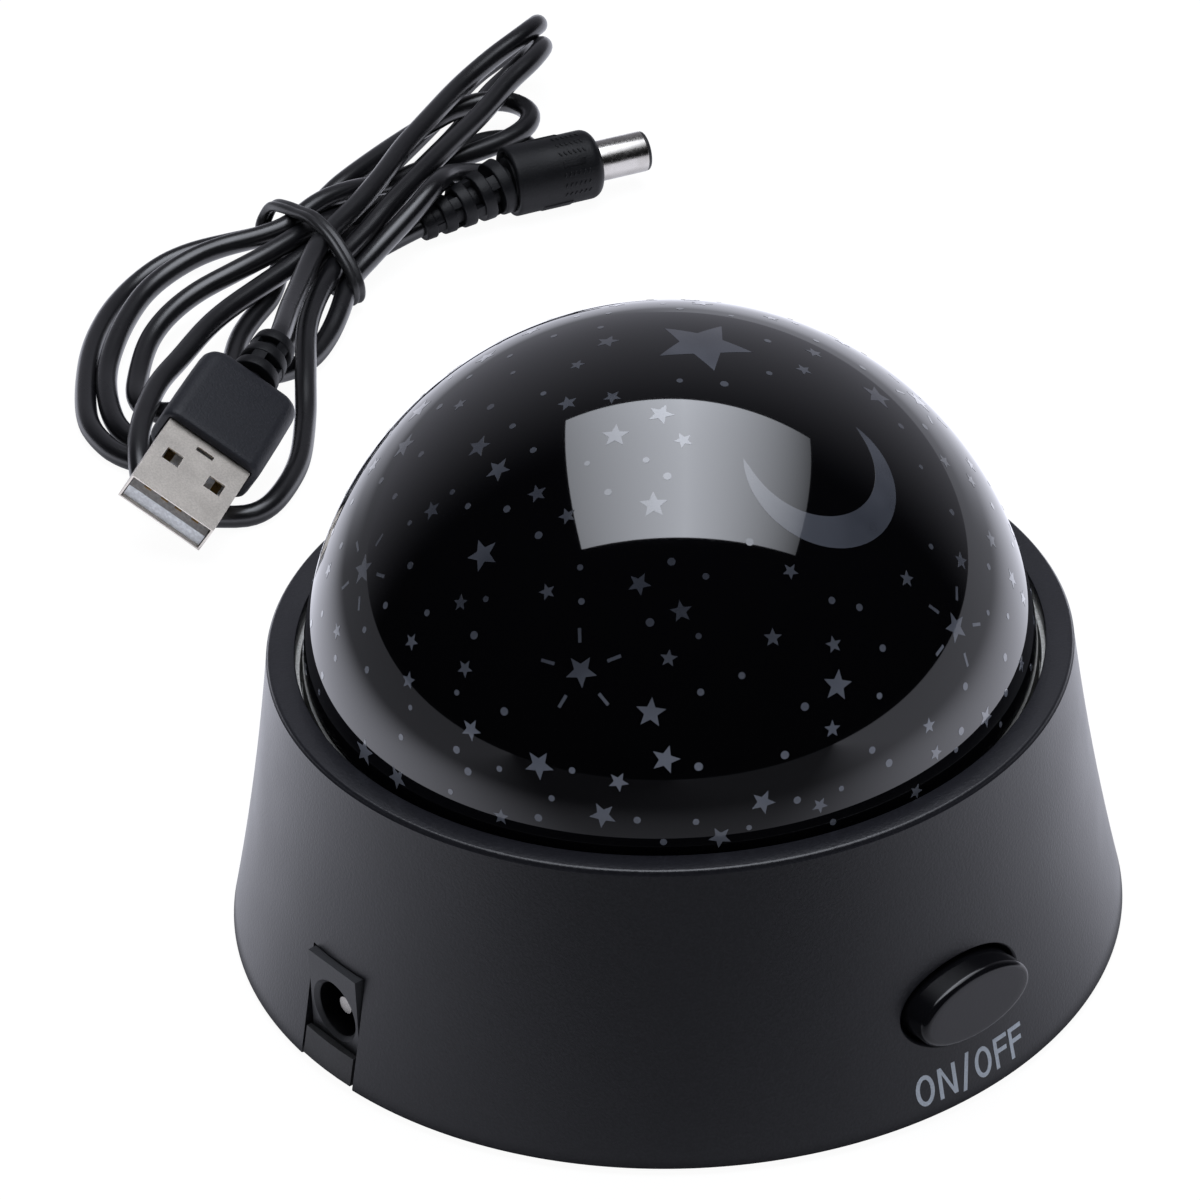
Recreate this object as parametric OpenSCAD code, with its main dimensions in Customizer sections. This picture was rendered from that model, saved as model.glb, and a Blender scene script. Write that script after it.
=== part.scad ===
// Star night light projector: a round housing with a printed dome that turns, a push button,
// a barrel power socket and a USB lead folded into a hank beside it.
// Millimetres. The floor is z = 0, the dome turns about the Z axis, the button faces -Y and
// the power socket faces -X.

/* [Housing] */
// diameter of the housing at its bottom edge
base_d = 100; // [98:0.5:104]
// outer diameter of the flat rim around the dome
rim_d = 88.3; // [87:0.1:90]
// height of the housing from its bottom edge to the rim
base_h = 34.6; // [33.4:0.2:37]
// how far the side bows inward halfway up
side_bow = 0.44; // [0:0.02:0.8]
// thickness of the housing's wall
shell_wall = 2; // [1.6:0.1:2.4]
// width of the flat rim
rim_w = 3.1; // [2.8:0.1:3.5]
// how far the rubber feet hold the housing off the table
foot_proud = 0.8; // [0.5:0.1:1.6]

/* [Dome] */
// running gap between the dome and the rim
dome_gap = 0.65; // [0.5:0.05:0.9]
// thickness of the dome's wall
dome_wall = 1.6; // [1.2:0.1:2]
// depth of the dome's widest level below the rim
dome_sink = 4.4; // [3.6:0.2:5]

/* [Button] */
// width of the oval button opening
button_w = 16.2; // [14.6:0.2:17]
// height of the oval button opening
button_h = 9.4; // [8.6:0.2:10]
// gap all round the button in its opening
button_gap = 0.45; // [0.35:0.05:0.6]
// how far the button stands out of the side
button_proud = 2.3; // [1.6:0.1:2.4]
// how far the button goes in
button_travel = 1.5; // [1:0.1:1.6]

/* [Power socket] */
// diameter of the socket's bore
socket_bore_d = 6.4; // [6:0.1:6.6]
// diameter of the socket's centre pin
socket_pin_d = 2; // [1.6:0.1:2.5]

/* [Lead] */
// diameter of the lead's cord
cord_d = 2.8; // [2.6:0.1:3]
// diameter of the plug's barrel
plug_barrel_d = 5.5; // [5.2:0.1:5.7]
// diameter of the plug's grip
plug_grip_d = 9.7; // [9:0.1:9.8]

/* [Hidden] */

$fn = 96;
e = 0.01;             // overlap that makes a cut or a union clean

black = "#232326";
satin_black = "#2b2b2f";
nickel = "#c9c6c0";
steel = "#8d9096";
white = "#e6e6e2";
board_green = "#1f5a3a";
gold = "#c9a24a";

// --- heights of the housing's insides, all above the floor ---
bottom = foot_proud;                         // the housing's bottom edge
plate_lift = 0.4;                            // the plate stands in by this much at the bottom edge
plate_bottom = bottom + plate_lift;
plate_t = 2;
plate_top = plate_bottom + plate_t;
lip_t = 1.8;                                 // thickness of the flat rim
rim_top = bottom + base_h;
lip_under = rim_top - lip_t;
dome_z = rim_top - dome_sink;                // centre of the dome's sphere
trap_gap = 0.4;                              // play between the carrier and the rim
run_gap = 0.2;                               // play between the carrier and its track
carrier_t = 2.6;
carrier_top = dome_z - 1.5;                  // the dome's lower edge stands here
carrier_bottom = carrier_top - carrier_t;
deck_t = 2;
deck_top = carrier_bottom - 2.1;
deck_bottom = deck_top - deck_t;

// --- radii ---
function shell_r(h) = base_d / 2 + (rim_d - base_d) / 2 * h / base_h
    - side_bow * 4 * h / base_h * (1 - h / base_h);
rim_in = rim_d / 2 - rim_w;
dome_r = rim_in - dome_gap;
carrier_r = shell_r(base_h - lip_t - trap_gap) - shell_wall - 0.45;
deck_r = carrier_r - 0.6;
plate_r = shell_r(plate_top - bottom) - shell_wall - 0.3;
track_r = dome_r - 0.2;                      // middle of the track that the carrier runs on
track_w = 1.4;

// --- screws ---
screw_r = 1.15;
head_r = 2.4;
plate_head_h = 1;
plate_screw_l = 9;
deck_head_h = 1.4;
deck_screw_bite = 7;                         // how far a deck screw goes into its pillar
small_screw_r = 0.9;
small_head_r = 1.9;
carrier_head_h = 1.2;
clear_r = 1.4;
boss_r = 3.5;
boss_lift = 15;
boss_top = bottom + boss_lift;
boss_ring = shell_r(boss_lift) - 3.9;
boss_turns = [45, 135, 225, 315];
pillar_ring = 33;
pillar_turns = [88, 130, 235, 345];
foot_ring = 36;
foot_r = 4.9;
foot_pocket = 0.5;
carrier_screw_ring = dome_r - dome_wall - 2.2;
carrier_screw_turns = [90, 210, 330];
dome_boss_r = 2.6;
dome_boss_lift = 0.2;                        // play between the dome's bosses and the carrier

// --- gears: the pinion turns four times for each turn of the dome ---
gear_m = 1.25;
ring_teeth = 48;
pinion_teeth = 12;
gear_centre = gear_m * (ring_teeth - pinion_teeth) / 2;
motor_turn = 45;
shaft_r = 1.5;
bearing_gap = 0.05;                          // radial play of the shaft in the motor
motor_r = 10;
wire_room = 5.6;                             // room for the wires under the motor
motor_h = deck_bottom - plate_top - wire_room;
motor_ear = 14;                              // the motor's screws stand this far from its axis
motor_boss_r = 3;
hub_r = 3.4;

// --- light ---
led_post_r = 7;
led_lift = 3.4;
led_board_z = deck_top + led_lift;
led_board_r = 8;
led_board_t = 1.4;
emitter_w = 5;
emitter_t = 1;
lens_r = 1.7;
lens_z = led_board_z + led_board_t + emitter_t;
wire_hole_r = 3;                             // for the light's wires, through the deck and the post

// --- button ---
button_lift = 11.9;                          // the button's middle above the housing's bottom edge
button_z = bottom + button_lift;
button_face = shell_r(button_z - bottom) + button_proud;
collar_depth = 3.8;
collar_end = shell_r(button_z - bottom) - collar_depth;    // inner end of the button's guide
flange_lip = 0.8;
flange_t = 1.2;
flange_rest = 0.2;
flange_front = collar_end - flange_rest;
flange_back = flange_front - flange_t;
plunger_r = 1.5;
spring_r = 2.9;
spring_wire = 0.35;
spring_shut_l = 2.5;                         // the spring's length with the button in
switch_front = flange_back - button_travel - spring_shut_l;
switch_t = 4;
switch_back = switch_front - switch_t;
switch_bore_r = plunger_r + 0.05;
switch_board_t = 1.6;
switch_board_w = 18;
switch_board_h = 16;
cheek_w = 3.2;                               // posts on the plate that hold the switch's board
cheek_h = 13;
cheek_wall = 1.4;

// --- power socket, hung under the main board ---
socket_lift = 7.5;                           // the socket's axis above the housing's bottom edge
socket_z = bottom + socket_lift;
socket_face = shell_r(socket_z - bottom) - 0.3;
socket_w = 8.2;
socket_l = 14;
socket_low = 3.3;
socket_high = 13.5;
socket_bottom = bottom + socket_low;
socket_top = bottom + socket_high;
socket_depth = 10;
pin_back = 1.5;                              // the pin's tip lies this far inside the mouth
pin_root_r = socket_pin_d / 2 - 0.3;
pin_root_l = 2;
slot_w = 9;
slot_high = 13.7;
slot_top = bottom + slot_high;
tab_w = 8.2;
tab_high = 3.1;
tab_top = bottom + tab_high;

// --- main board ---
board_t = 1.6;
board_bottom = socket_top;
board_top = board_bottom + board_t;
board_x = [-41, -9];
board_half = 16;
board_posts = [[-12, 12.5], [-12, -12.5], [-31, 12.5], [-31, -12.5]];
board_post_r = 2.6;
board_clear_r = 1.2;
board_head_h = 1.1;
board_screw_bite = 5;
chip_at = [-25, -3];
chip_w = 9;
chip_l = 5;
chip_t = 1.5;
chip_legs_at = [-24.2, -0.5];                // the first pair's near side, and the row's middle line
chip_leg_pitch = 1.4;
chip_leg_row = 3;
chip_leg_w = 0.5;
chip_leg_l = 1.4;
chip_leg_t = 0.6;
capacitor_at = [-31, 5];
capacitor_r = 2.5;
terminal_w = 2.2;
terminal_t = 0.8;
terminal_l = 3.2;
board_hole = 6;                              // depth of the screw holes in the board's posts
terminal_spots = [[-36, 3, 0], [-36, -3, 0], [-39, 0, 90]];
header_spots = [[-13, 4], [-13, -5], [-22, -13.5]];
header_w = 4;
header_l = 4.8;
header_h = 0.58 * (deck_bottom - board_top);
wire_d = 1;
// bends of the wires: steps out of their header, then points on the way, across and up
led_wire_out = [5, -1.5, 0.2];
led_wire_way = [-2.4, 1.2, 1.4];
led_wire_up = [-1, 1];
motor_wire_out = [5, 0, -1];
motor_wire_way = [0, 2];
motor_wire_in = [6, 3, -1.5];
motor_tab = [4, 0.4];                        // the motor's tabs: half their distance, and the solder's depth
switch_wire_out = [3, -4.1];
switch_wire_way = [-10, -1.5, 3];
switch_wire_in = [-3, 1];
switch_wire_gap = 1.5;

// --- the plug's place: its barrel's tip, on its side on the floor ---
plug_tip = [102, 127, plug_grip_d / 2 + 0.05];
plug_turn = 72.7;
relief_turn = 10;
relief_drop = 9;
barrel_l = 7.4;
barrel_bore_r = 2.1;
barrel_root_r = plug_barrel_d / 2 - 0.3;
barrel_root_l = 2;                           // how deep the barrel is moulded into the grip
sleeve_r = 1.3;
sleeve_bore_r = 1.05;
tip_band = 0.5;                              // the insulating band in front of the barrel
grip_l = 12.6;
relief_l = 14.5;

// --- the USB plug's place: the middle of its front lower edge ---
usb_at = [-2.2, 95.7, 5.3];
usb_turn = -60.5;
usb_nose = 7;
usb_roll = 34;
usb_w = 12;
usb_t = 4.5;
usb_wall = 0.3;
usb_l = 11.5;
usb_grip_l = 14;
usb_grip_mouth = [13.4, 6.6];
usb_grip_wide = [14.2, 7.2];
usb_grip_back = [14, 7];
usb_grip_end = [12.4, 6];
usb_relief_l = 9;

// --- the lead's routes, where the cord isn't packed into the hank ---
loop_route = [[50, 130, 4.2], [46, 126.8, 3.6], [41.4, 122.4, 2.6], [37.4, 117.4, 1.7], [34, 112.6, 1.5],
    [30.4, 107.6, 1.5], [26, 103, 1.5], [20.6, 98.8, 1.5], [14.4, 95.6, 1.5], [9, 94.8, 1.5],
    [4.8, 96.8, 1.5], [2.6, 101, 1.5], [3, 106, 1.5], [5.4, 110.6, 1.6], [8.6, 115, 2.6], [12, 119, 4]];
plug_tail_route = [[70.5, 134.5, 2.9], [68.5, 134.8, 2.6], [65, 135, 2.2], [60.5, 134.6, 2.4],
    [56, 133.5, 3]];
usb_tail_route = [[26.7, 110.6, 11.2], [29.4, 112.2, 11.5], [32.4, 115.2, 11], [36.4, 119.4, 9.8],
    [41.2, 123.6, 8.8], [46.6, 128, 8], [52, 132, 6.8]];
tie_at = [53, 137];
bundle_w = 20.8;
bundle_h = 7.4;
bundle_l = 10;                               // the hank's narrow part, which the tie goes round
tie_t = 1.6;
// the hank's ends, as round corners: middle and radius
hank_loops = [[14, 122, 8], [30, 140, 10], [46, 134.5, 5.6]];
hank_loops_h = 5.6;
hank_tips = [[62, 139.5, 5.4], [109, 162, 4.6], [90, 146, 4.4]];
hank_tips_h = 6.6;
tie_l = 2;

// ---------------------------------------------------------------- shared shapes

// an oval across Y, drawn in the XZ plane and run along -Y from y = -front to y = -back
module oval_y(half_w, half_h, front, back, z) {
    translate([0, -back, z])
        rotate([90, 0, 0])
            linear_extrude(front - back)
                polygon([for (i = [0 : 47]) [half_w * cos(i * 7.5), half_h * sin(i * 7.5)]]);
}

// a cylinder along -X from x = -front to x = -back
module rod_x(r, front, back, y, z) {
    translate([-front, y, z])
        rotate([0, 90, 0])
            cylinder(r = r, h = front - back);
}

module around(radius, turns, z) {
    for (t = turns)
        rotate([0, 0, t])
            translate([radius, 0, z])
                children();
}

// the housing's outer form as a solid, from its bottom edge to the rim
module housing_form() {
    translate([0, 0, bottom])
        rotate_extrude($fn = 180)
            polygon(concat([[0, 0]], [for (i = [0 : 8]) [shell_r(base_h * i / 8), base_h * i / 8]],
                [[0, base_h]]));
}

function involute(r, base) = tan(acos(base / r)) - acos(base / r) * PI / 180;

// half the angle of a tooth at radius r, in degrees
function tooth_half(n, r, thin) = let (pitch = gear_m * n / 2, base = pitch * cos(20))
    (PI * gear_m / 2 - thin) / 2 / pitch * 180 / PI
    + (involute(pitch, base) - involute(max(r, base + e), base)) * 180 / PI;

// a gear's outline with n teeth: thin takes the play off the teeth
function gear_points(n, tip, root, thin) = [for (i = [0 : n - 1])
    let (mid = (root + tip) / 2, t = i * 360 / n)
    for (p = [[root, -1], [mid, -1], [tip, -1], [tip, 1], [mid, 1], [root, 1]])
        let (a = t + p[1] * tooth_half(n, p[0], thin)) [p[0] * cos(a), p[0] * sin(a)]];

function unit(v) = v / norm(v);
function along(route, i) = unit(route[min(i + 1, len(route) - 1)] - route[max(i - 1, 0)]);

// a cord of diameter d along a route that never runs along ref
module cord_along(route, d, ref = [0, 0, 1]) {
    sides = 8;
    last = len(route) - 1;
    rings = [for (i = [0 : last])
        let (dir = along(route, i), side = unit(cross(dir, ref)), up = cross(side, dir))
        for (k = [0 : sides - 1])
            route[i] + d / 2 * (cos(k * 360 / sides) * side + sin(k * 360 / sides) * up)];
    polyhedron(rings, concat(
        [[for (k = [0 : sides - 1]) k]],
        [for (i = [0 : last - 1]) for (k = [0 : sides - 1])
            let (a = i * sides + k, b = i * sides + (k + 1) % sides) [a, a + sides, b + sides, b]],
        [[for (k = [sides - 1 : -1 : 0]) last * sides + k]]));
}

// ---------------------------------------------------------------- housing

module base_shell() {
    color(satin_black) difference() {
        union() {
            difference() {
                translate([0, 0, bottom])
                    rotate_extrude($fn = 180)
                        polygon(concat(
                            [for (i = [0 : 8]) let (h = (base_h - 0.3) * i / 8) [shell_r(h), h]],
                            [[rim_d / 2 - 0.2, base_h], [rim_in, base_h], [rim_in, base_h - lip_t]],
                            [for (i = [8 : -1 : 0]) let (h = (base_h - lip_t) * i / 8)
                                [shell_r(h) - shell_wall, h]]));
                translate([-base_d, -slot_w / 2, bottom - 1])
                    cube([base_d - rim_in + 4, slot_w, slot_top - bottom + 1]);
            }
            oval_y(button_w / 2 + 1.2, button_h / 2 + 1.2, shell_r(button_z - bottom) - 1.1,
                collar_end, button_z);
            around(boss_ring, boss_turns, plate_top)
                cylinder(r = boss_r, h = boss_top - plate_top);
        }
        oval_y(button_w / 2, button_h / 2, base_d, collar_end - 1, button_z);
        around(boss_ring, boss_turns, plate_top - 1)
            cylinder(r = screw_r, h = 11);
    }
}

module base_plate() {
    color(black) difference() {
        union() {
            translate([0, 0, plate_bottom])
                cylinder(r = plate_r, h = plate_t, $fn = 180);
            intersection() {
                housing_form();
                union() {
                    translate([-base_d, -tab_w / 2, plate_bottom])
                        cube([base_d - plate_r + 3, tab_w, plate_t]);
                    translate([-base_d, -tab_w / 2, plate_bottom])
                        cube([base_d - socket_face - 0.3, tab_w, tab_top + 0.6 - plate_bottom]);
                }
            }
            around(pillar_ring, pillar_turns, plate_top - e)
                cylinder(r = boss_r, h = deck_bottom - plate_top + e);
            for (p = board_posts)
                translate([p[0], p[1], plate_top - e])
                    cylinder(r = board_post_r, h = board_bottom - plate_top + e);
            for (s = [-1, 1])
                translate([s * (switch_board_w / 2 + 0.6) - cheek_w / 2, -switch_back - cheek_wall,
                    plate_top - e])
                    cube([cheek_w, switch_board_t + 2 * cheek_wall, cheek_h]);
        }
        around(boss_ring, boss_turns, plate_bottom - 1)
            cylinder(r = clear_r, h = plate_t + 2);
        around(boss_ring, boss_turns, plate_bottom - e)
            cylinder(r = head_r + 0.2, h = plate_head_h + e);
        around(foot_ring, [0, 90, 180, 270], plate_bottom - e)
            cylinder(r = foot_r + 0.1, h = foot_pocket + e);
        around(pillar_ring, pillar_turns, deck_bottom - 8)
            cylinder(r = screw_r, h = 9);
        for (p = board_posts)
            translate([p[0], p[1], board_bottom - board_hole])
                cylinder(r = small_screw_r, h = board_hole + 1);
        translate([-switch_board_w / 2 - 0.1, -switch_back, plate_top])
            cube([switch_board_w + 0.2, switch_board_t, switch_board_h]);
    }
}

// a round head with a cross recess and a plain shank, head down at z = 0
module plate_screw(head, shank, l, head_h) {
    difference() {
        cylinder(r = head, h = head_h, $fn = 48);
        for (t = [0, 90])
            rotate([0, 0, t])
                translate([-head * 0.55, -0.3, -e])
                    cube([head * 1.1, 0.6, head_h * 0.5]);
    }
    translate([0, 0, head_h - e])
        cylinder(r = shank, h = l + e, $fn = 48);
}

module plate_screws() {
    color(steel) around(boss_ring, boss_turns, plate_bottom)
        plate_screw(head_r, screw_r, plate_screw_l, plate_head_h);
}

module rubber_feet() {
    color("#1a1a1a") around(foot_ring, [0, 90, 180, 270], 0)
        cylinder(r = foot_r, h = plate_bottom + foot_pocket);
}

// ---------------------------------------------------------------- deck and drive

module deck() {
    color(black) difference() {
        union() {
            translate([0, 0, deck_bottom])
                cylinder(r = deck_r, h = deck_t, $fn = 180);
            difference() {
                translate([0, 0, deck_top - e])
                    cylinder(r = track_r + track_w / 2, h = carrier_bottom - run_gap - deck_top + e,
                        $fn = 180);
                translate([0, 0, deck_top - 1])
                    cylinder(r = track_r - track_w / 2, h = 5, $fn = 180);
            }
        }
        around(pillar_ring, pillar_turns, deck_bottom - 1)
            cylinder(r = clear_r, h = deck_t + 2);
        rotate([0, 0, motor_turn])
            translate([gear_centre, 0, deck_bottom - 1]) {
                cylinder(r = motor_boss_r + 0.2, h = deck_t + 2);
                for (s = [-1, 1])
                    translate([0, s * motor_ear, 0])
                        cylinder(r = screw_r, h = deck_t + 2);
            }
        translate([0, 0, deck_bottom - 1])
            cylinder(r = wire_hole_r, h = deck_t + 2);
    }
}

module deck_screws() {
    color(steel) around(pillar_ring, pillar_turns, deck_top + deck_head_h)
        rotate([180, 0, 0])
            plate_screw(head_r, screw_r, deck_t + deck_screw_bite, deck_head_h);
}

module drive_motor() {
    color(steel) rotate([0, 0, motor_turn]) translate([gear_centre, 0, 0]) difference() {
        union() {
            translate([0, 0, deck_bottom - motor_h])
                cylinder(r = motor_r, h = motor_h);
            translate([-4, -motor_ear - 3, deck_bottom - 1])
                cube([8, 2 * motor_ear + 6, 1]);
            translate([0, 0, deck_bottom - e])
                cylinder(r = motor_boss_r, h = 1.2);
            for (s = [-1, 1])
                translate([s * 4 - 1.2, -0.3, deck_bottom - motor_h - 1.6])
                    cube([2.4, 0.6, 1.6 + e]);
        }
        translate([0, 0, deck_bottom - 6])
            cylinder(r = shaft_r + bearing_gap, h = 10);
        for (s = [-1, 1])
            translate([0, s * motor_ear, deck_bottom - 2])
                cylinder(r = screw_r, h = 3);
    }
}

module motor_screws() {
    color(steel) rotate([0, 0, motor_turn]) translate([gear_centre, 0, 0])
        for (s = [-1, 1])
            translate([0, s * motor_ear, deck_top + 1.2])
                rotate([180, 0, 0])
                    plate_screw(2, screw_r, deck_t + 1, 1.2);
}

module motor_shaft() {
    color(nickel) rotate([0, 0, motor_turn])
        translate([gear_centre, 0, deck_bottom - 5.5])
            cylinder(r = shaft_r, h = carrier_top + 0.6 - deck_bottom + 5.5);
}

module drive_pinion() {
    pitch = gear_m * pinion_teeth / 2;
    color(white) rotate([0, 0, motor_turn])
        translate([gear_centre, 0, 0])
            difference() {
                union() {
                    translate([0, 0, carrier_bottom - 0.3])
                        linear_extrude(carrier_t + 0.4)
                            polygon(gear_points(pinion_teeth, pitch + 0.75 * gear_m, pitch - gear_m, 0.3));
                    translate([0, 0, deck_top + 0.6])
                        cylinder(r = hub_r, h = carrier_top + 0.4 - deck_top - 0.6);
                }
                translate([0, 0, deck_top])
                    cylinder(r = shaft_r, h = 10);
            }
}

// ---------------------------------------------------------------- light

module led_post() {
    color(black) difference() {
        translate([0, 0, deck_top])
            cylinder(r = led_post_r, h = led_board_z - deck_top);
        translate([0, 0, deck_top - 1])
            cylinder(r = wire_hole_r, h = 10);
    }
}

module led_board() {
    color("#dcdcd8") translate([0, 0, led_board_z])
        cylinder(r = led_board_r, h = led_board_t);
}

module led_emitter() {
    color(white) translate([-emitter_w / 2, -emitter_w / 2, led_board_z + led_board_t])
        cube([emitter_w, emitter_w, emitter_t]);
}

module led_lens() {
    color("#f4f0d8") intersection() {
        translate([0, 0, lens_z])
            sphere(r = lens_r, $fn = 48);
        translate([-emitter_w / 2, -emitter_w / 2, lens_z])
            cube([emitter_w, emitter_w, 2 * lens_r]);
    }
}

// ---------------------------------------------------------------- electronics

module main_board() {
    color(board_green) difference() {
        translate([board_x[0], -board_half, board_bottom])
            cube([board_x[1] - board_x[0], 2 * board_half, board_t]);
        for (p = board_posts)
            translate([p[0], p[1], board_bottom - 1])
                cylinder(r = board_clear_r, h = board_t + 2);
        for (p = terminal_spots)
            translate([p[0], p[1], board_bottom + board_t / 2])
                rotate([0, 0, p[2]])
                    cube([terminal_w, terminal_t, board_t + 1], center = true);
    }
}

module board_screws() {
    color(steel) for (p = board_posts)
        translate([p[0], p[1], board_top + board_head_h])
            rotate([180, 0, 0])
                plate_screw(small_head_r, small_screw_r, board_t + board_screw_bite, board_head_h);
}

module controller_chip() {
    color("#17171a") union() {
        translate([chip_at[0], chip_at[1], board_top + 0.2])
            cube([chip_w, chip_l, chip_t]);
        for (i = [0 : 5]) for (s = [-1, 1])
            translate([chip_legs_at[0] + i * chip_leg_pitch,
                chip_legs_at[1] + s * chip_leg_row - chip_leg_l / 2, board_top])
                cube([chip_leg_w, chip_leg_l, chip_leg_t]);
    }
}

module filter_capacitor() {
    color("#26324a") translate([capacitor_at[0], capacitor_at[1], board_top])
        cylinder(r = capacitor_r, h = deck_bottom - board_top - 1.2);
}

module wire_headers() {
    color(white) for (p = header_spots)
        translate([p[0] - header_w / 2, p[1] - header_l / 2, board_top])
            cube([header_w, header_l, header_h]);
}

module socket_body() {
    color(black) difference() {
        translate([-socket_face, -socket_w / 2, socket_bottom])
            cube([socket_l, socket_w, socket_top - socket_bottom]);
        rod_x(socket_bore_d / 2, socket_face + 1, socket_face - socket_depth, 0, socket_z);
        translate([-socket_face - e, 0, socket_z])
            rotate([0, 90, 0])
                cylinder(r1 = socket_bore_d / 2 + 0.5, r2 = socket_bore_d / 2, h = 0.5 + e);
        rod_x(pin_root_r, socket_face - socket_depth + 1, socket_face - socket_depth - pin_root_l, 0,
            socket_z);
    }
}

module socket_pin() {
    root = socket_face - socket_depth;
    color(nickel) union() {
        rod_x(socket_pin_d / 2, socket_face - pin_back, root, 0, socket_z);
        rod_x(pin_root_r, root + e, root - pin_root_l, 0, socket_z);
    }
}

module socket_terminals() {
    color(nickel) for (p = terminal_spots)
        translate([p[0], p[1], board_bottom + 1.6])
            rotate([0, 0, p[2]])
                cube([terminal_w, terminal_t, terminal_l], center = true);
}

module switch_board() {
    color(board_green) translate([-switch_board_w / 2, -switch_back, plate_top])
        cube([switch_board_w, switch_board_t, switch_board_h]);
}

module switch_body() {
    color("#303034") difference() {
        translate([-5, -switch_front, button_z - 5])
            cube([10, switch_t, 10]);
        translate([0, -switch_front - e, button_z])
            rotate([-90, 0, 0])
                cylinder(r = switch_bore_r, h = 3.4 + e);
    }
}

module led_wires() {
    p = header_spots[0] + [header_w / 2, 0];
    z = board_top + header_h / 2;
    color("#a8322c") for (s = [-0.9, 0.9])
        cord_along([[p[0], p[1] + s, z],
            [p[0] + led_wire_out[0], p[1] + led_wire_out[1] + s, z + led_wire_out[2]],
            [led_wire_way[0], s * led_wire_way[1], z + led_wire_way[2]],
            [led_wire_up[0], s * led_wire_way[1], deck_bottom - led_wire_up[1]],
            [led_wire_up[0], s * led_wire_way[1], led_board_z]], wire_d, [0, 1, 0]);
}

module motor_wires() {
    p = header_spots[1] + [header_w / 2, 0];
    z = board_top + header_h / 2;
    turned = [cos(motor_turn), sin(motor_turn), 0];
    motor = gear_centre * turned + [0, 0, deck_bottom - motor_h - 1];
    color("#2c4fa8") for (s = [-1, 1])
        cord_along([[p[0], p[1] + s, z], [p[0] + motor_wire_out[0], p[1] + s, z + motor_wire_out[2]],
            [motor_wire_way[0], p[1] + motor_wire_way[1] + s, (z + motor[2]) / 2],
            [motor_wire_in[0] + 2 * s, motor_wire_in[1] + s, motor[2] + motor_wire_in[2]],
            motor + s * motor_tab[0] * turned - [motor_tab[1], motor_tab[1], 0]], wire_d, [0, 1, 0]);
}

module switch_wires() {
    p = header_spots[2] - [0, header_l / 2];
    z = board_top + header_h / 2;
    color("#d8d8d2") for (s = [-1, 1])
        cord_along([[p[0] + s, p[1], z], [p[0] + switch_wire_out[0] + s, p[1] + switch_wire_out[1], z],
            [switch_wire_way[0] + s * switch_wire_gap,
                (p[1] - switch_back + switch_board_t) / 2 + switch_wire_way[1],
                button_z + switch_wire_way[2]],
            [switch_wire_in[0] + s * switch_wire_gap, -switch_back + switch_board_t,
                button_z + switch_wire_in[1]]], wire_d);
}

// ---------------------------------------------------------------- button, sliding along Y

module button_cap() {
    half_w = button_w / 2 - button_gap;
    half_h = button_h / 2 - button_gap;
    color(satin_black) union() {
        oval_y(half_w - 0.5, half_h - 0.5, button_face, button_face - 1, button_z);
        oval_y(half_w, half_h, button_face - 0.5, flange_front, button_z);
        oval_y(button_w / 2 + flange_lip, button_h / 2 + flange_lip, flange_front, flange_back, button_z);
    }
}

module button_plunger() {
    color(white) translate([0, -flange_back, button_z])
        rotate([-90, 0, 0])
            cylinder(r = plunger_r, h = flange_back - switch_front + 1.2);
}

module button_spring() {
    turns = 3;
    per_turn = 12;
    l = flange_back - switch_front - 2 * spring_wire;
    color(nickel) cord_along([for (i = [0 : turns * per_turn])
        let (t = i * 360 / per_turn)
        [spring_r * cos(t), -flange_back + spring_wire + l * i / (turns * per_turn),
            button_z + spring_r * sin(t)]], 2 * spring_wire);
}

// ---------------------------------------------------------------- dome, turning about Z

// a hemisphere on a straight skirt whose lower edge is at z
module dome_form(r, z) {
    intersection() {
        translate([0, 0, dome_z])
            sphere(r = r, $fn = 180);
        translate([-r - 1, -r - 1, dome_z])
            cube([2 * r + 2, 2 * r + 2, r + 1]);
    }
    translate([0, 0, z])
        cylinder(r = r, h = dome_z - z, $fn = 180);
}

module dome_cover() {
    color(black) union() {
        difference() {
            dome_form(dome_r, carrier_top);
            dome_form(dome_r - dome_wall, carrier_top - 1);
        }
        around(carrier_screw_ring, carrier_screw_turns, carrier_top + dome_boss_lift)
            difference() {
                cylinder(r = dome_boss_r, h = 5);
                translate([0, 0, -1])
                    cylinder(r = small_screw_r, h = 5);
            }
    }
}

module dome_carrier() {
    pitch = gear_m * ring_teeth / 2;
    color("#3a3a3e") difference() {
        union() {
            translate([0, 0, carrier_bottom])
                cylinder(r = carrier_r, h = carrier_t, $fn = 180);
            difference() {
                translate([0, 0, carrier_top - e])
                    cylinder(r = carrier_r, h = lip_under - trap_gap - carrier_top + e, $fn = 180);
                translate([0, 0, carrier_top - 1])
                    cylinder(r = dome_r + 0.25, h = lip_under, $fn = 180);
            }
        }
        rotate([0, 0, motor_turn])
            translate([0, 0, carrier_bottom - 1])
                linear_extrude(carrier_t + 2)
                    polygon(gear_points(ring_teeth, pitch + gear_m, pitch - 0.75 * gear_m, -0.1));
        around(carrier_screw_ring, carrier_screw_turns, carrier_bottom - 1)
            cylinder(r = small_screw_r, h = carrier_t + 2);
        around(carrier_screw_ring, carrier_screw_turns, carrier_bottom - e)
            cylinder(r = small_head_r + 0.1, h = carrier_head_h + 0.1 + e);
    }
}

module carrier_screws() {
    color(steel) around(carrier_screw_ring, carrier_screw_turns, carrier_bottom + 0.1)
        plate_screw(small_head_r, small_screw_r, carrier_t + 2, carrier_head_h);
}

// ---------------------------------------------------------------- the lead's plug

// the plug's own frame: its barrel's tip at the origin, +Y toward the cord
module plug_frame() {
    translate(plug_tip)
        rotate([0, 0, plug_turn])
            children();
}

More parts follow.
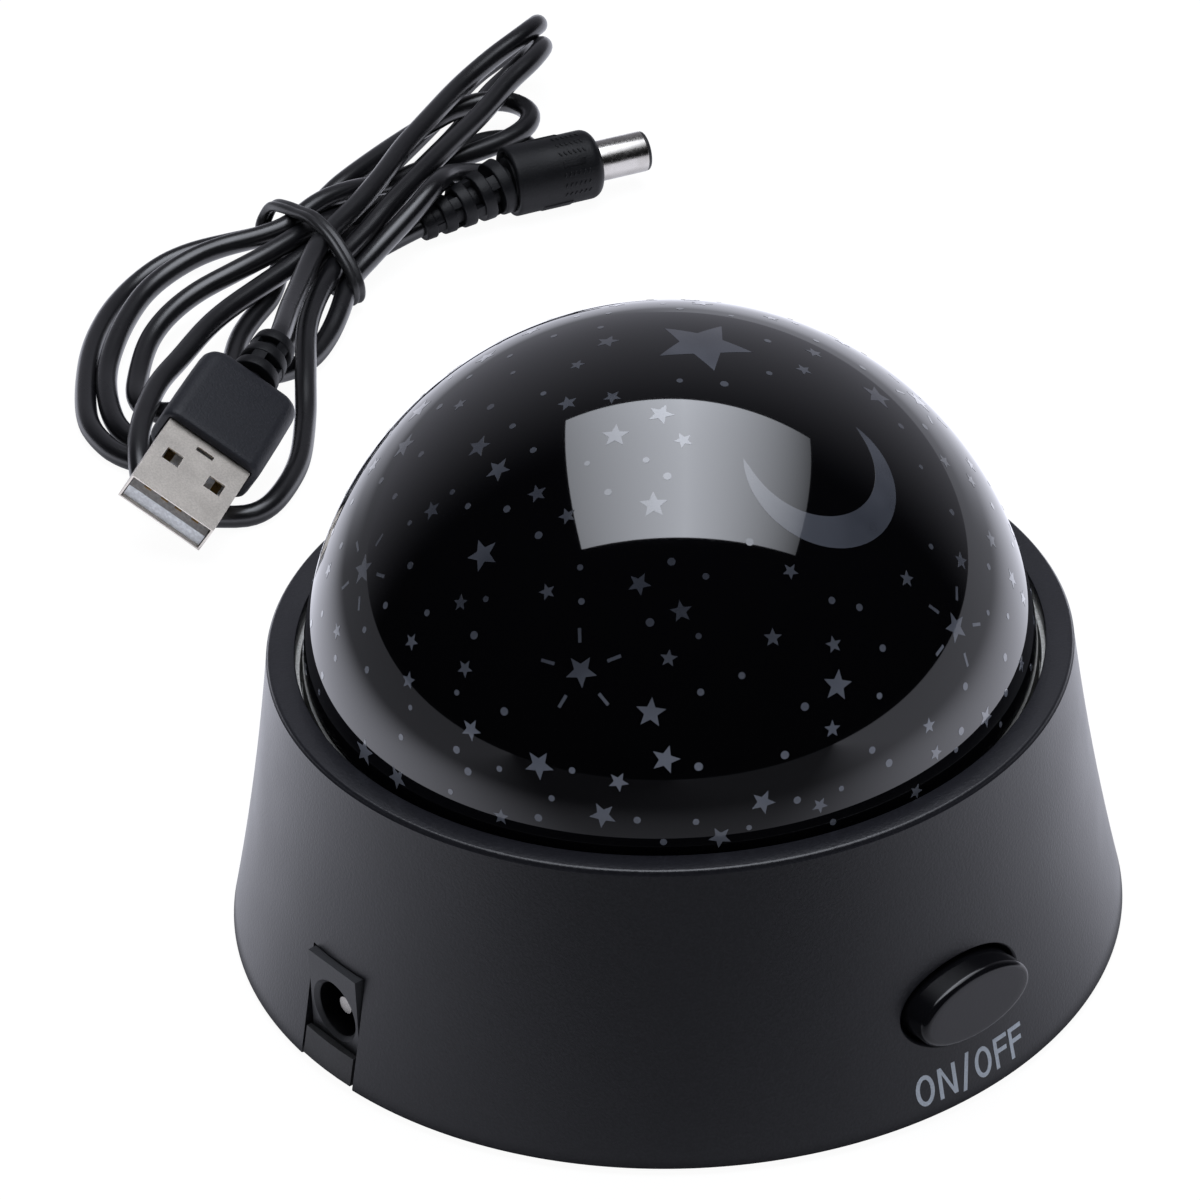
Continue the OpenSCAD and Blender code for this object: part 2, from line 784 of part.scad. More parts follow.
// a tube along +Y from y0 to y1
module tube_y(r, bore, y0, y1) {
    translate([0, y0, 0])
        rotate([-90, 0, 0])
            difference() {
                cylinder(r = r, h = y1 - y0);
                translate([0, 0, -1])
                    cylinder(r = bore, h = y1 - y0 + 2);
            }
}

module plug_barrel() {
    color(nickel) plug_frame() union() {
        tube_y(plug_barrel_d / 2, barrel_bore_r, tip_band, barrel_l);
        tube_y(barrel_root_r, barrel_bore_r, barrel_l - e, barrel_l + barrel_root_l);
    }
}

module plug_insulator() {
    color("#141416") plug_frame() union() {
        rotate([-90, 0, 0])
            difference() {
                cylinder(r1 = plug_barrel_d / 2 - 0.4, r2 = plug_barrel_d / 2 - 0.05, h = tip_band);
                translate([0, 0, -1])
                    cylinder(r = sleeve_r, h = tip_band + 2);
            }
        tube_y(barrel_bore_r, sleeve_r, tip_band - e, barrel_l + barrel_root_l);
    }
}

module plug_sleeve() {
    color(nickel) plug_frame()
        tube_y(sleeve_r, sleeve_bore_r, tip_band / 2, barrel_l + barrel_root_l);
}

module plug_grip() {
    round_r = 1.6;
    r = plug_grip_d / 2;
    color(satin_black) plug_frame() difference() {
        translate([0, barrel_l, 0])
            rotate([-90, 0, 0])
                rotate_extrude()
                    polygon(concat([[0, 0]],
                        [for (t = [0 : 15 : 90])
                            [r - round_r + round_r * sin(t), round_r - round_r * cos(t)]],
                        [[r, grip_l - 0.4], [r - 0.4, grip_l], [0, grip_l]]));
        translate([0, barrel_l - 1, 0])
            rotate([-90, 0, 0])
                cylinder(r = barrel_root_r, h = barrel_root_l + 1);
    }
}

// ribs that narrow toward the cord: a collar, then rings with gaps between them
module ribbed_relief(r0, r1, core, l, ribs) {
    pitch = l / ribs;
    rotate([-90, 0, 0])
        rotate_extrude()
            polygon(concat([[0, 0]],
                [for (i = [0 : ribs - 1]) let (r = r0 + (r1 - r0) * i / (ribs - 1), y = i * pitch)
                    for (p = [[core, y], [core, y + pitch * 0.4], [r, y + pitch * 0.42],
                        [r - 0.15, y + pitch]]) p],
                [[0, l]]));
}

module plug_relief() {
    color(black) plug_frame()
        translate([0, barrel_l + grip_l, 0])
            rotate([0, 0, relief_turn])
                rotate([-relief_drop, 0, 0])
                    translate([0, -0.4, 0])
                        ribbed_relief(3.9, 2.3, 2, relief_l, 5);
}

// ---------------------------------------------------------------- the lead's USB plug

// the USB plug's own frame: +X across, +Y toward the cord, +Z up
module usb_frame() {
    translate(usb_at)
        rotate([0, 0, usb_turn])
            rotate([usb_nose, 0, 0])
                rotate([0, usb_roll, 0])
                    children();
}

module usb_shell() {
    color(nickel) usb_frame() difference() {
        translate([-usb_w / 2, 0, 0])
            cube([usb_w, usb_l + 3, usb_t]);
        translate([-usb_w / 2 + usb_wall, -1, usb_wall])
            cube([usb_w - 2 * usb_wall, usb_l + 5, usb_t - 2 * usb_wall]);
        for (s = [-1, 1])
            translate([s * 3.1 - 1.15, 5.3, -1])
                cube([2.3, 2, usb_t + 2]);
        translate([-1.2, 9.6, usb_t - 1])
            cube([2.4, 0.6, 2]);
    }
}

module usb_tongue() {
    color(white) usb_frame()
        translate([-usb_w / 2 + usb_wall + 0.1, 0.5, usb_wall])
            cube([usb_w - 2 * usb_wall - 0.2, usb_l + 2.4, 1.9]);
}

module usb_contacts() {
    color(gold) usb_frame()
        for (x = [-3.5, -1, 1, 3.5])
            translate([x - 0.5, 1.6, usb_wall + 1.9])
                cube([1, 8, 0.15]);
}

// a rounded slab across Y, w wide and t thick, centred on the USB shell's middle
module usb_slab(w, t, r, y) {
    translate([0, y, usb_t / 2])
        rotate([90, 0, 0])
            linear_extrude(0.2)
                for (sx = [-1, 1]) for (sz = [-1, 1])
                    translate([sx * (w / 2 - r), sz * (t / 2 - r)])
                        circle(r = r, $fn = 32);
}

module usb_grip() {
    color(satin_black) usb_frame() difference() {
        hull() {
            usb_slab(usb_grip_mouth[0], usb_grip_mouth[1], 1.6, usb_l + 0.2);
            usb_slab(usb_grip_wide[0], usb_grip_wide[1], 2, usb_l + 0.8);
            usb_slab(usb_grip_back[0], usb_grip_back[1], 2.2, usb_l + usb_grip_l - 1.4);
            usb_slab(usb_grip_end[0], usb_grip_end[1], 2.2, usb_l + usb_grip_l);
        }
        translate([-usb_w / 2, usb_l - 1, 0])
            cube([usb_w, 4, usb_t]);
    }
}

module usb_relief() {
    color(black) usb_frame()
        translate([0, usb_l + usb_grip_l, usb_t / 2])
            ribbed_relief(3.3, 2.9, 1.9, usb_relief_l, 3);
}

// ---------------------------------------------------------------- the lead's cord

module lead_hank() {
    color("#1b1b1e") union() {
        linear_extrude(hank_loops_h)
            hull()
                for (c = hank_loops)
                    translate([c[0], c[1]])
                        circle(r = c[2], $fn = 32);
        linear_extrude(hank_tips_h)
            hull()
                for (c = hank_tips)
                    translate([c[0], c[1]])
                        circle(r = c[2], $fn = 32);
        translate([tie_at[0] - bundle_l / 2, tie_at[1] - bundle_w / 2, tie_t])
            cube([bundle_l, bundle_w, bundle_h]);
    }
}

module lead_loop() {
    color("#1b1b1e") cord_along(loop_route, cord_d);
}

module lead_plug_tail() {
    color("#1b1b1e") cord_along(plug_tail_route, cord_d);
}

module lead_usb_tail() {
    color("#1b1b1e") cord_along(usb_tail_route, cord_d);
}

module lead_tie() {
    color("#141416") translate([tie_at[0], tie_at[1], 0])
        difference() {
            translate([-tie_l / 2, -bundle_w / 2 - tie_t, 0])
                cube([tie_l, bundle_w + 2 * tie_t, bundle_h + 2 * tie_t]);
            translate([-tie_l, -bundle_w / 2, tie_t])
                cube([2 * tie_l, bundle_w, bundle_h]);
        }
}

// ---------------------------------------------------------------- which nodes are drawn

base_shell();
base_plate();
plate_screws();
rubber_feet();
deck();
deck_screws();
drive_motor();
motor_screws();
led_post();
led_board();
led_emitter();
led_lens();
main_board();
board_screws();
controller_chip();
filter_capacitor();
wire_headers();
socket_body();
socket_pin();
socket_terminals();
switch_board();
switch_body();
led_wires();
motor_wires();
switch_wires();
button_cap();
button_plunger();
button_spring();
dome_cover();
dome_carrier();
carrier_screws();
drive_pinion();
motor_shaft();
plug_barrel();
plug_insulator();
plug_sleeve();
plug_grip();
plug_relief();
usb_shell();
usb_tongue();
usb_contacts();
usb_grip();
usb_relief();
lead_hank();
lead_loop();
lead_plug_tail();
lead_usb_tail();
lead_tie();
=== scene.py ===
import math
import bmesh
import bpy
import numpy as np
from mathutils import Matrix, Vector


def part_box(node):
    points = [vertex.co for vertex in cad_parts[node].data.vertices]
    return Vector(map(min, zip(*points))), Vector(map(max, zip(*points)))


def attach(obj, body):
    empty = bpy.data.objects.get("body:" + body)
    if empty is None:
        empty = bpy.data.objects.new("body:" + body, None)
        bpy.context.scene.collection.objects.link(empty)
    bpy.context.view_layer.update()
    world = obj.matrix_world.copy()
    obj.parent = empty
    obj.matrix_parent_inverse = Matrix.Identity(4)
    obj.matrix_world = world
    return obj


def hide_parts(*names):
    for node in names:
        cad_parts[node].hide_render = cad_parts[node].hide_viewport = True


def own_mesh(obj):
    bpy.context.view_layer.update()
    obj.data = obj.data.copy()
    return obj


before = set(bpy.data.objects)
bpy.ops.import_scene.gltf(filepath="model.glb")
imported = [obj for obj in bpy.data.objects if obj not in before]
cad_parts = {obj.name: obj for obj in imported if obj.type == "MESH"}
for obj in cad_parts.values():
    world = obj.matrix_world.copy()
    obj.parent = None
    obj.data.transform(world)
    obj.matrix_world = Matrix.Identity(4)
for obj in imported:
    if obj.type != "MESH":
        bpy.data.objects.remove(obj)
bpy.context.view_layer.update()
mm = 0.001

# --- the camera: it looks down on the light from the front left, through a long lens,
# two thirds of a metre away.

def placed(name, data):
    """A new object, linked to the scene."""
    made = bpy.data.objects.new(name, data)
    bpy.context.scene.collection.objects.link(made)
    return made


view = placed("camera", bpy.data.cameras.new("camera"))
view.data.lens = 178.2
view.data.clip_start = 0.01
view.matrix_world = (Matrix.Translation((-0.34114, -0.41827, 0.39758))
                     @ Matrix.Rotation(math.radians(-38.41), 4, "Z")
                     @ Matrix.Rotation(math.radians(56.49), 4, "X")
                     @ Matrix.Rotation(math.radians(-2.2), 4, "Z"))
bpy.context.scene.camera = view
bpy.context.scene.view_settings.view_transform = "Standard"


# --- the lead's cord: one limp round PVC cord, 2.8 mm thick and 0.965 m long, satin black.
# It is folded to and fro into a hank of loops, which lie on the table run on run, from the power
# plug's relief to the USB plug's relief.

class Value:
    """A number or vector in a material; Python's operators add its maths nodes."""

    def __init__(self, finish, socket):
        self.finish, self.socket = finish, socket

    def _math(self, operation, a, b):
        return self.finish.node("ShaderNodeMath", {"operation": operation}, {0: a, 1: b})

    def __add__(self, other): return self._math("ADD", self, other)
    def __radd__(self, other): return self._math("ADD", other, self)
    def __sub__(self, other): return self._math("SUBTRACT", self, other)
    def __rsub__(self, other): return self._math("SUBTRACT", other, self)
    def __mul__(self, other): return self._math("MULTIPLY", self, other)
    def __rmul__(self, other): return self._math("MULTIPLY", other, self)
    def __truediv__(self, other): return self._math("DIVIDE", self, other)
    def __rtruediv__(self, other): return self._math("DIVIDE", other, self)
    def __pow__(self, other): return self._math("POWER", self, other)
    def __abs__(self): return self._math("ABSOLUTE", self, 0)


class Finish:
    """A procedural material: fixed numbers go on the shader's own sockets, nodes feed what varies."""

    def __init__(self, name, colour, rough, **fixed):
        self.material = bpy.data.materials.new(name)
        self.material.use_nodes = True
        self.tree = self.material.node_tree
        self.shader = self.tree.nodes["Principled BSDF"]
        self.set("Base Color", colour)
        self.set("Roughness", rough)
        for socket, value in fixed.items():
            self.set(socket.replace("_", " "), value)

    def put(self, socket, value):
        if isinstance(value, Value):
            self.tree.links.new(value.socket, socket)
        elif hasattr(socket, "default_value"):
            wide = socket.type == "RGBA" and not isinstance(value, (int, float)) and len(value) == 3
            socket.default_value = (*value, 1) if wide else value

    def set(self, name, value):
        self.put(self.shader.inputs[name], value)

    def node(self, kind, settings=None, sockets=None, out=0):
        node = self.tree.nodes.new(kind)
        for key, value in (settings or {}).items():
            setattr(node, key, value)
        for key, value in (sockets or {}).items():
            self.put(node.inputs[key], value)
        return Value(self, node.outputs[out])

    def place(self, out="Object"):
        return self.node("ShaderNodeTexCoord", out=out)

    def ray(self, out):
        """What the light path says of a ray: whether it's of a kind, or how long it is."""
        return self.node("ShaderNodeLightPath", out=out)

    def noise(self, size, detail=2.0, stretch=(1, 1, 1)):
        """Soft noise from 0 to 1, whose blobs are about size metres across."""
        at = self.node("ShaderNodeMapping", None, {"Vector": self.place(), "Scale": stretch})
        return self.node("ShaderNodeTexNoise", None, {"Vector": at, "Scale": 1 / size, "Detail": detail})

    def step(self, value, low, high, to_low=0.0, to_high=1.0):
        """A soft step from to_low, where value is low, to to_high, where it is high."""
        return self.node("ShaderNodeMapRange", {"interpolation_type": "SMOOTHSTEP"},
                         {"Value": value, "From Min": low, "From Max": high,
                          "To Min": to_low, "To Max": to_high})

    def mix(self, part, low, high):
        """A colour between low and high."""
        return self.node("ShaderNodeMix", {"data_type": "RGBA"}, {0: part, 6: low, 7: high}, out=2)

    def parts(self, vector):
        """The x, y and z of a vector."""
        x = self.node("ShaderNodeSeparateXYZ", None, {0: vector})
        return [Value(self, out) for out in x.socket.node.outputs]

    def length(self, vector):
        return self.node("ShaderNodeVectorMath", {"operation": "LENGTH"}, {0: vector}, out=1)

    def shades(self, noise, low, high, first, second):
        """The base colour goes from the first to the second where the noise passes from low to high."""
        self.set("Base Color", self.mix(self.step(noise, low, high), first, second))

    def sheen(self, noise, smooth, rough):
        self.set("Roughness", self.step(noise, 0.3, 0.7, smooth, rough))

    def bump(self, height, depth):
        """Raise the surface by depth metres where height is 1."""
        self.set("Normal", self.node("ShaderNodeBump", None,
                                     {"Height": height, "Distance": depth, "Strength": 1}))
        return self


cord_d = 2.8 * mm
cord_gap = cord_d + 0.05 * mm
cord_step = 2 * mm
tie_x = 53 * mm
cord_runs = [
    # out of the power plug, under the tie and round the outermost loop on the left
    (71.5, 134.3, 3.1), (69, 134.7, 2.7), (65, 135, 2.2), (60.5, 134.9, 1.9), (56.5, 134.6, 2.7),
    (53, 134, 3.1), (47.5, 130.2, 2), (41, 125.6, 1.4), (34, 120, 1.4), (27, 114.8, 1.4),
    (20, 110.8, 1.4), (14, 109.4, 1.4), (9.4, 111.6, 1.4), (7.2, 116, 1.4), (7.1, 120.1, 1.4),
    (8.6, 125.8, 1.4), (13.1, 132.8, 1.4), (19.3, 140.2, 1.4), (25.9, 145.8, 1.4), (32.3, 149.2, 1.6),
    (38, 150, 2.5), (42.7, 149.2, 3), (47.3, 147.8, 3), (53.6, 146, 3),
    # the short loop that ends under the two long ones
    (61, 146.6, 3.4), (66, 147.8, 4.4), (72, 149.6, 4.6), (79, 151.8, 4.4), (86, 153.6, 4.2),
    (91, 154.4, 4.2), (95.4, 153.5, 4.2), (98, 150.7, 4.2), (98, 146.8, 4.2), (95.2, 144, 4.2),
    (90.8, 142.9, 4.2), (85, 143, 4.3), (76, 143.4, 4.6), (70.5, 142.9, 5), (65, 142.5, 6.4),
    (60, 142.1, 7), (56.5, 141.6, 6.8),
    # back over the left, second loop
    (52.6, 141, 6.2), (47.8, 141.8, 6), (43.8, 143, 6), (39.6, 144.6, 5.2), (34.5, 144.9, 4.2),
    (29.5, 143.4, 3.5), (23.1, 139.3, 2.8), (17.3, 134.1, 2), (13.3, 128.5, 1.8), (10.6, 122.8, 1.6),
    (10.2, 118.4, 1.4), (11.8, 115, 1.4), (15.4, 113.4, 1.4), (20, 114.8, 1.4), (25.4, 119.4, 1.4),
    (30.5, 125, 1.4), (35.1, 129.6, 1.4), (39.4, 132.4, 1.6), (44.2, 135, 1.8), (48.5, 138.8, 2.5),
    (53, 142, 3.1),
    # along the floor to the second long tip and back on top
    (60, 143, 1.9), (68, 144.4, 1.4), (78, 147.6, 1.4), (87, 151.4, 1.4), (95.6, 156.1, 1.4),
    (100.6, 159.1, 1.4), (104.6, 160.3, 2), (107.3, 159.6, 4.2), (107.9, 157.2, 6.9),
    (105.8, 153.8, 8.9), (101.4, 151, 9.3), (96, 149.1, 8.8), (88.3, 145.6, 8), (76.8, 140.6, 7.8),
    (65.7, 136, 7), (59, 133.2, 6), (53, 131, 5.3),
    # the wide loop that lies out on the floor beside the USB plug
    (50, 128.9, 5.2), (45.4, 126, 4.9), (39.3, 120.6, 4.5), (33, 112.9, 3.4), (28.2, 107, 2),
    (21.4, 100, 1.4), (14, 95.4, 1.4), (9.3, 94.4, 1.4), (5.6, 96, 1.4), (3.2, 99.6, 1.4),
    (2.6, 103.4, 1.4), (3.4, 107.2, 2), (5.8, 111.2, 3.6), (8.6, 114.9, 4.2), (12.4, 118.8, 4.4),
    (17.9, 123.3, 4.4), (23.7, 126.6, 4.2), (30.4, 130.2, 4.2), (35.6, 132.2, 4.2), (42, 133.8, 4.2),
    (47.7, 135, 4.3), (53, 136, 4.5),
    # the near loop, on top of the power plug's relief on its way back
    (59, 136.8, 3.6), (66, 138.8, 1.7), (74, 141.4, 1.4), (80.6, 145, 1.4), (85.4, 147.7, 1.4),
    (89.8, 148.3, 1.4), (93.5, 146.4, 1.4), (94.9, 142.8, 1.4), (93.4, 139.2, 1.4), (89.8, 137.2, 1.6),
    (84.4, 136.9, 2.8), (77.4, 135.6, 5.8), (72.1, 132.7, 7.5), (66.4, 131.2, 6.4), (60.5, 130.4, 4.7),
    (56.5, 129.5, 3.8), (52.6, 128.2, 3.2),
    # under the USB plug and round the innermost loop on the left
    (47.6, 124.2, 2.4), (43, 121.2, 1.5), (37.4, 118.4, 1.4), (31, 117, 2.6), (25.6, 117, 4.2),
    (21, 117.4, 3.4), (17.4, 119.2, 1.8), (15.4, 122.6, 1.4), (16, 126, 1.5), (18.9, 129.8, 1.6),
    (24.3, 134.8, 2.5), (29.2, 137.2, 3.5), (34.7, 138.1, 4.5), (39.6, 137.4, 5.5), (45.6, 137.3, 6),
    (52.2, 138.2, 6.1),
    # along the floor to the longest tip, back on top and out to the USB plug
    (56, 139.4, 5.3), (60, 141.6, 4.2), (64, 144.4, 3.1), (68, 146.9, 1.8), (73, 149.8, 1.4),
    (80, 153, 1.4), (90, 157.8, 1.4), (98.4, 162.4, 1.4), (103.6, 164.6, 1.4), (107.5, 165, 2),
    (110.4, 163.9, 4.2), (110.9, 161.2, 7), (108.8, 158.1, 9.1), (104.4, 156.3, 9.5),
    (98.6, 155.3, 8.9), (90.9, 153.2, 8.1), (82, 149, 8), (75.1, 145.5, 8), (68, 141.3, 7.9),
    (61, 137.6, 7.8), (54.3, 134.7, 7.7), (50.4, 132.2, 8), (46, 128.6, 8.2), (41.2, 124.2, 8.8),
    (36.4, 119.6, 9.8), (32.4, 115.4, 10.8), (29.4, 112.4, 11.4), (26.7, 110.6, 11.2)]


def evenly(points, gap):
    """The points of a smooth line through the given ones, a fixed gap apart."""
    p = np.array(points, float)
    p = np.vstack([2 * p[0] - p[1], p, 2 * p[-1] - p[-2]])
    fine = []
    for a, b, c, d in zip(p[:-3], p[1:-2], p[2:-1], p[3:]):
        for t in np.linspace(0, 1, 12, endpoint=False):
            fine.append(0.5 * (2 * b + (c - a) * t + (2 * a - 5 * b + 4 * c - d) * t * t
                               + (3 * b - a - 3 * c + d) * t ** 3))
    fine = np.array(fine + [p[-2]])
    run = np.concatenate([[0], np.cumsum(np.linalg.norm(np.diff(fine, axis=0), axis=1))])
    at = np.linspace(0, run[-1], int(run[-1] / gap) + 1)
    return np.column_stack([np.interp(at, run, fine[:, k]) for k in range(3)])


usb_origin = Vector((-2.2, 95.7, 5.3)) * mm
usb_turn = (Matrix.Rotation(math.radians(-60.5), 3, "Z") @ Matrix.Rotation(math.radians(7), 3, "X")
            @ Matrix.Rotation(math.radians(34), 3, "Y"))
usb_middle = np.array(usb_origin + usb_turn @ Vector((0, 14.5 * mm, 2.25 * mm)))
usb_half = np.array([7.2, 11.2, 3.7]) * mm
plug_rods = [  # the power plug's relief and grip: from, to, and the radius at each end, in mm
    ((82.9, 132.95, 4.9), (69.1, 134.7, 2.7), 3.9, 2.4),
    ((95, 129.2, 4.9), (83.2, 132.9, 4.9), 4.9, 4.9)]


def off_rod(cord, start, end, start_r, end_r):
    """Push the cord's points out of a tapered rod, given in mm."""
    a, b, ra, rb = np.array(start) * mm, np.array(end) * mm, start_r * mm, end_r * mm
    along = np.clip(((cord - a) @ (b - a)) / ((b - a) @ (b - a)), 0, 1)
    away = cord - (a + along[:, None] * (b - a))
    far = np.maximum(np.linalg.norm(away, axis=1), 1e-9)
    short = np.maximum(ra + (rb - ra) * along + cord_d / 2 - far, 0)
    cord[4:] += (away / far[:, None] * short[:, None])[4:]


def off_box(cord, middle, turn, half):
    """Push the cord's points out of a turned box, the short way."""
    local = (cord - middle) @ turn
    deep = half + cord_d / 2 - np.abs(local)
    inside = (deep > 0).all(axis=1)
    inside[-7:] = False
    for i in np.nonzero(inside)[0]:
        k = int(np.argmin(deep[i]))
        local[i, k] += math.copysign(deep[i, k], local[i, k] or 1)
    cord[inside] = (local @ turn.T + middle)[inside]


def settle(points, rounds):
    """Lay the cord down: where its runs, the plugs and the floor meet, they push it until they only touch."""
    push_share, tie_room, tie_reach = 0.35, 1.7 * mm, 4 * mm
    loose, stiff = 0.5, 0.12
    rest = evenly(np.array(points) * mm, cord_step)
    cord = rest.copy()
    i, j = np.triu_indices(len(cord), 6)
    turn = np.array(usb_turn)
    to_end = np.minimum(np.arange(len(cord)), np.arange(len(cord))[::-1])
    free = np.clip(to_end / 8 - 0.4, 0, 1)[:, None]
    for k in range(rounds):
        apart = cord[i] - cord[j]
        far = np.einsum("ij,ij->i", apart, apart)
        near = far < cord_gap ** 2
        apart, far = apart[near], np.sqrt(np.maximum(far[near], 1e-12))
        push = apart / far[:, None] * ((cord_gap - far) * push_share)[:, None]
        np.add.at(cord, i[near], push)
        np.add.at(cord, j[near], -push)
        for rod in plug_rods:
            off_rod(cord, *rod)
        off_box(cord, usb_middle, turn, usb_half)
        under_tie = tie_room * np.exp(-((cord[:, 0] - tie_x) / tie_reach) ** 2)
        cord[:, 2] = np.maximum(cord[:, 2], cord_d / 2 + under_tie)
        moved = (cord - rest) * free
        ease = loose if k < rounds * 0.7 else stiff
        for _ in range(2):
            moved[1:-1] += ease * (0.5 * (moved[:-2] + moved[2:]) - moved[1:-1])
        cord = rest + moved
    return cord


def tube(name, points, thickness, finish):
    """A round cord along the points, as a curve of one open spline."""
    curve = bpy.data.curves.new(name, "CURVE")
    curve.dimensions = "3D"
    curve.bevel_depth = thickness / 2
    curve.bevel_resolution = 8
    curve.resolution_u = 2
    curve.use_fill_caps = True
    spline = curve.splines.new("NURBS")
    spline.points.add(len(points) - 1)
    spline.points.foreach_set("co", [x for p in points for x in (*p, 1)])
    spline.order_u = 4
    spline.use_endpoint_u = True
    curve.materials.append(finish.material)
    return placed(name, curve)


cord_finish = Finish("satin_cord", (0.004, 0.004, 0.005), 0.3, Specular_IOR_Level=0.8)
cord_grain = cord_finish.noise(0.5 * mm, 3)
cord_finish.sheen(cord_finish.noise(14 * mm, 2), 0.27, 0.33)
cord_finish.shades(cord_grain, 0.4, 0.8, (0.003, 0.003, 0.004), (0.006, 0.006, 0.007))
cord_finish.bump(cord_grain, 0.002 * mm)
lead_cord = tube("lead_cord", settle(cord_runs, 200), cord_d, cord_finish)
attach(lead_cord, "housing")
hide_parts("lead_hank", "lead_loop", "lead_plug_tail", "lead_usb_tail")


# --- the tie: one closed band of soft black PVC with a groove along its face, pushed over the hank where
# its runs cross. It stands a little loose on the far side, where the outermost run passes through it.

def add_piece(name, mesh, finish, body, slot, *nodes):
    """Put a finished mesh in the scene on its body, with its finish, in place of the CAD nodes."""
    made = placed(name, mesh)
    if finish:
        mesh.materials.clear()
        mesh.materials.append(finish.material)
    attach(made, body)
    if nodes:
        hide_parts(*nodes)
    return made


def cleaned(mesh, flat=False, sharp=40):
    """The mesh with doubles merged, faces turned outward and edges over the sharp angle left crisp."""
    work = bmesh.new()
    work.from_mesh(mesh)
    bmesh.ops.remove_doubles(work, verts=work.verts, dist=1e-7)
    bmesh.ops.dissolve_degenerate(work, edges=work.edges, dist=1e-8)
    bmesh.ops.recalc_face_normals(work, faces=work.faces)
    work.to_mesh(mesh)
    work.free()
    if not flat:
        mesh.shade_smooth()
        mesh.set_sharp_from_angle(angle=math.radians(sharp))
    return mesh


def raw_mesh(name, points, faces=()):
    """A mesh as its points and faces give it."""
    mesh = bpy.data.meshes.new(name)
    mesh.from_pydata([tuple(p) for p in points], [], faces)
    return mesh


def mesh_of(name, points, faces, **shading):
    return cleaned(raw_mesh(name, points, faces), **shading)


def solid(name, shape, finish, body, slot, *nodes, **shading):
    """A finished piece from a shape, which is its points and faces."""
    return add_piece(name, mesh_of(name, *shape, **shading), finish, body, slot, *nodes)


def turns(count):
    """The angles that part a full turn evenly."""
    return [2 * math.pi * k / count for k in range(count)]


def between(a, b, n):
    """The faces between two rings of n points, whose first points are a and b."""
    return [(a + k, a + (k + 1) % n, b + (k + 1) % n, b + k) for k in range(n)]


def ring_band(c, wide, thick, sides=24):
    """Points and faces of a closed band through the centres c, with a groove along the middle of each face."""
    square, groove, groove_half = 0.6, 0.3, 0.3
    points, count = [], len(c)
    for k in range(count):
        run = Vector(c[(k + 1) % count] - c[k - 1]).normalized()
        side = run.cross(Vector((1, 0, 0))).normalized()
        up = run.cross(side)
        for turn in turns(sides):
            face = math.copysign(abs(math.cos(turn)) ** square, math.cos(turn))
            face *= 1 - groove * math.exp(-(math.sin(turn) / groove_half) ** 2)
            points.append(Vector(c[k]) + thick / 2 * face * side + wide / 2 * math.sin(turn) * up)
    return points, [face for k in range(count) for face in between(k * sides, (k + 1) % count * sides, sides)]


def moulded(name, colour, rough, grain=0.35 * mm, depth=0.02 * mm, **fixed):
    """Moulded plastic or rubber with a fine grain and faint wear in its gloss."""
    finish = Finish(name, colour, rough, **fixed)
    fine = finish.noise(grain, 3)
    finish.sheen(finish.noise(9 * mm, 3), rough - 0.04, rough + 0.05)
    finish.shades(fine, 0.35, 0.75, colour, tuple(c * 1.35 + 0.002 for c in colour))
    return finish.bump(fine, depth)


tie_finish = moulded("tie_cord", (0.012, 0.012, 0.013), 0.36, 0.4 * mm, 0.01 * mm)
tie_round = [
    (53, 148.1, 3.2), (53.8, 148, 5), (54, 146.6, 6.8), (53.6, 143.6, 8), (53.2, 140, 8.9), (52.8, 136.6, 9.7),
    (52.5, 133.8, 9.6), (52.3, 131.2, 8.8), (52.1, 128.8, 7.4), (52, 127, 5.8), (51.9, 126, 4.2),
    (52, 126.1, 2.6), (52.3, 127.2, 1.4), (52.6, 129.2, 0.9), (52.8, 132, 0.86), (53, 136, 0.86),
    (53, 141, 0.86), (53, 145.6, 0.9), (53, 147.6, 1.6)]
# The line runs on past its start; it is cut where it comes back nearest to its first point.
tie_step = 0.5 * mm
tie_line = evenly(np.array(tie_round + tie_round[:3]) * mm, tie_step)
loop_start = len(evenly(np.array(tie_round[:2]) * mm, tie_step))
past_start = loop_start + 40
gaps = np.linalg.norm(tie_line[past_start:] - tie_line[loop_start], axis=1)
tie_loop = tie_line[loop_start:past_start + int(np.argmin(gaps))]
lead_tie = solid("lead_tie_ring", ring_band(tie_loop, 2.1 * mm, 1.5 * mm), tie_finish, "housing", "tie",
                 "lead_tie")


# --- the power plug: a nickel-plated barrel on a black insulator, moulded into a round PVC grip.
# Rows of small grip marks and low bars stand on the grip, and its ribbed relief tapers down to the cord.

plug_at = Matrix.Translation(Vector((102, 127, 4.9)) * mm) @ Matrix.Rotation(math.radians(72.7), 4, "Z")
relief_at = (plug_at @ Matrix.Translation((0, 20 * mm, 0)) @ Matrix.Rotation(math.radians(10), 4, "Z")
             @ Matrix.Rotation(math.radians(-9), 4, "X"))


def turned(profile, steps=72, place=Matrix()):
    """Points and faces of a closed shape turned about Y: the profile is (radius, y) in mm."""
    points, faces = [], []
    for r, y in profile:
        for a in turns(steps if r > 1e-9 else 1):
            points.append(place @ (Vector((r * math.cos(a), y, r * math.sin(a))) * mm))
    start = 0
    for (r0, _), (r1, _) in zip(profile, profile[1:]):
        n0, n1 = (steps if r0 > 1e-9 else 1), (steps if r1 > 1e-9 else 1)
        for m in range(steps):
            a, b = start + m % n0, start + (m + 1) % n0
            c, d = start + n0 + (m + 1) % n1, start + n0 + m % n1
            faces.append(tuple(dict.fromkeys((a, b, c, d))))
        start += n0
    return points, faces


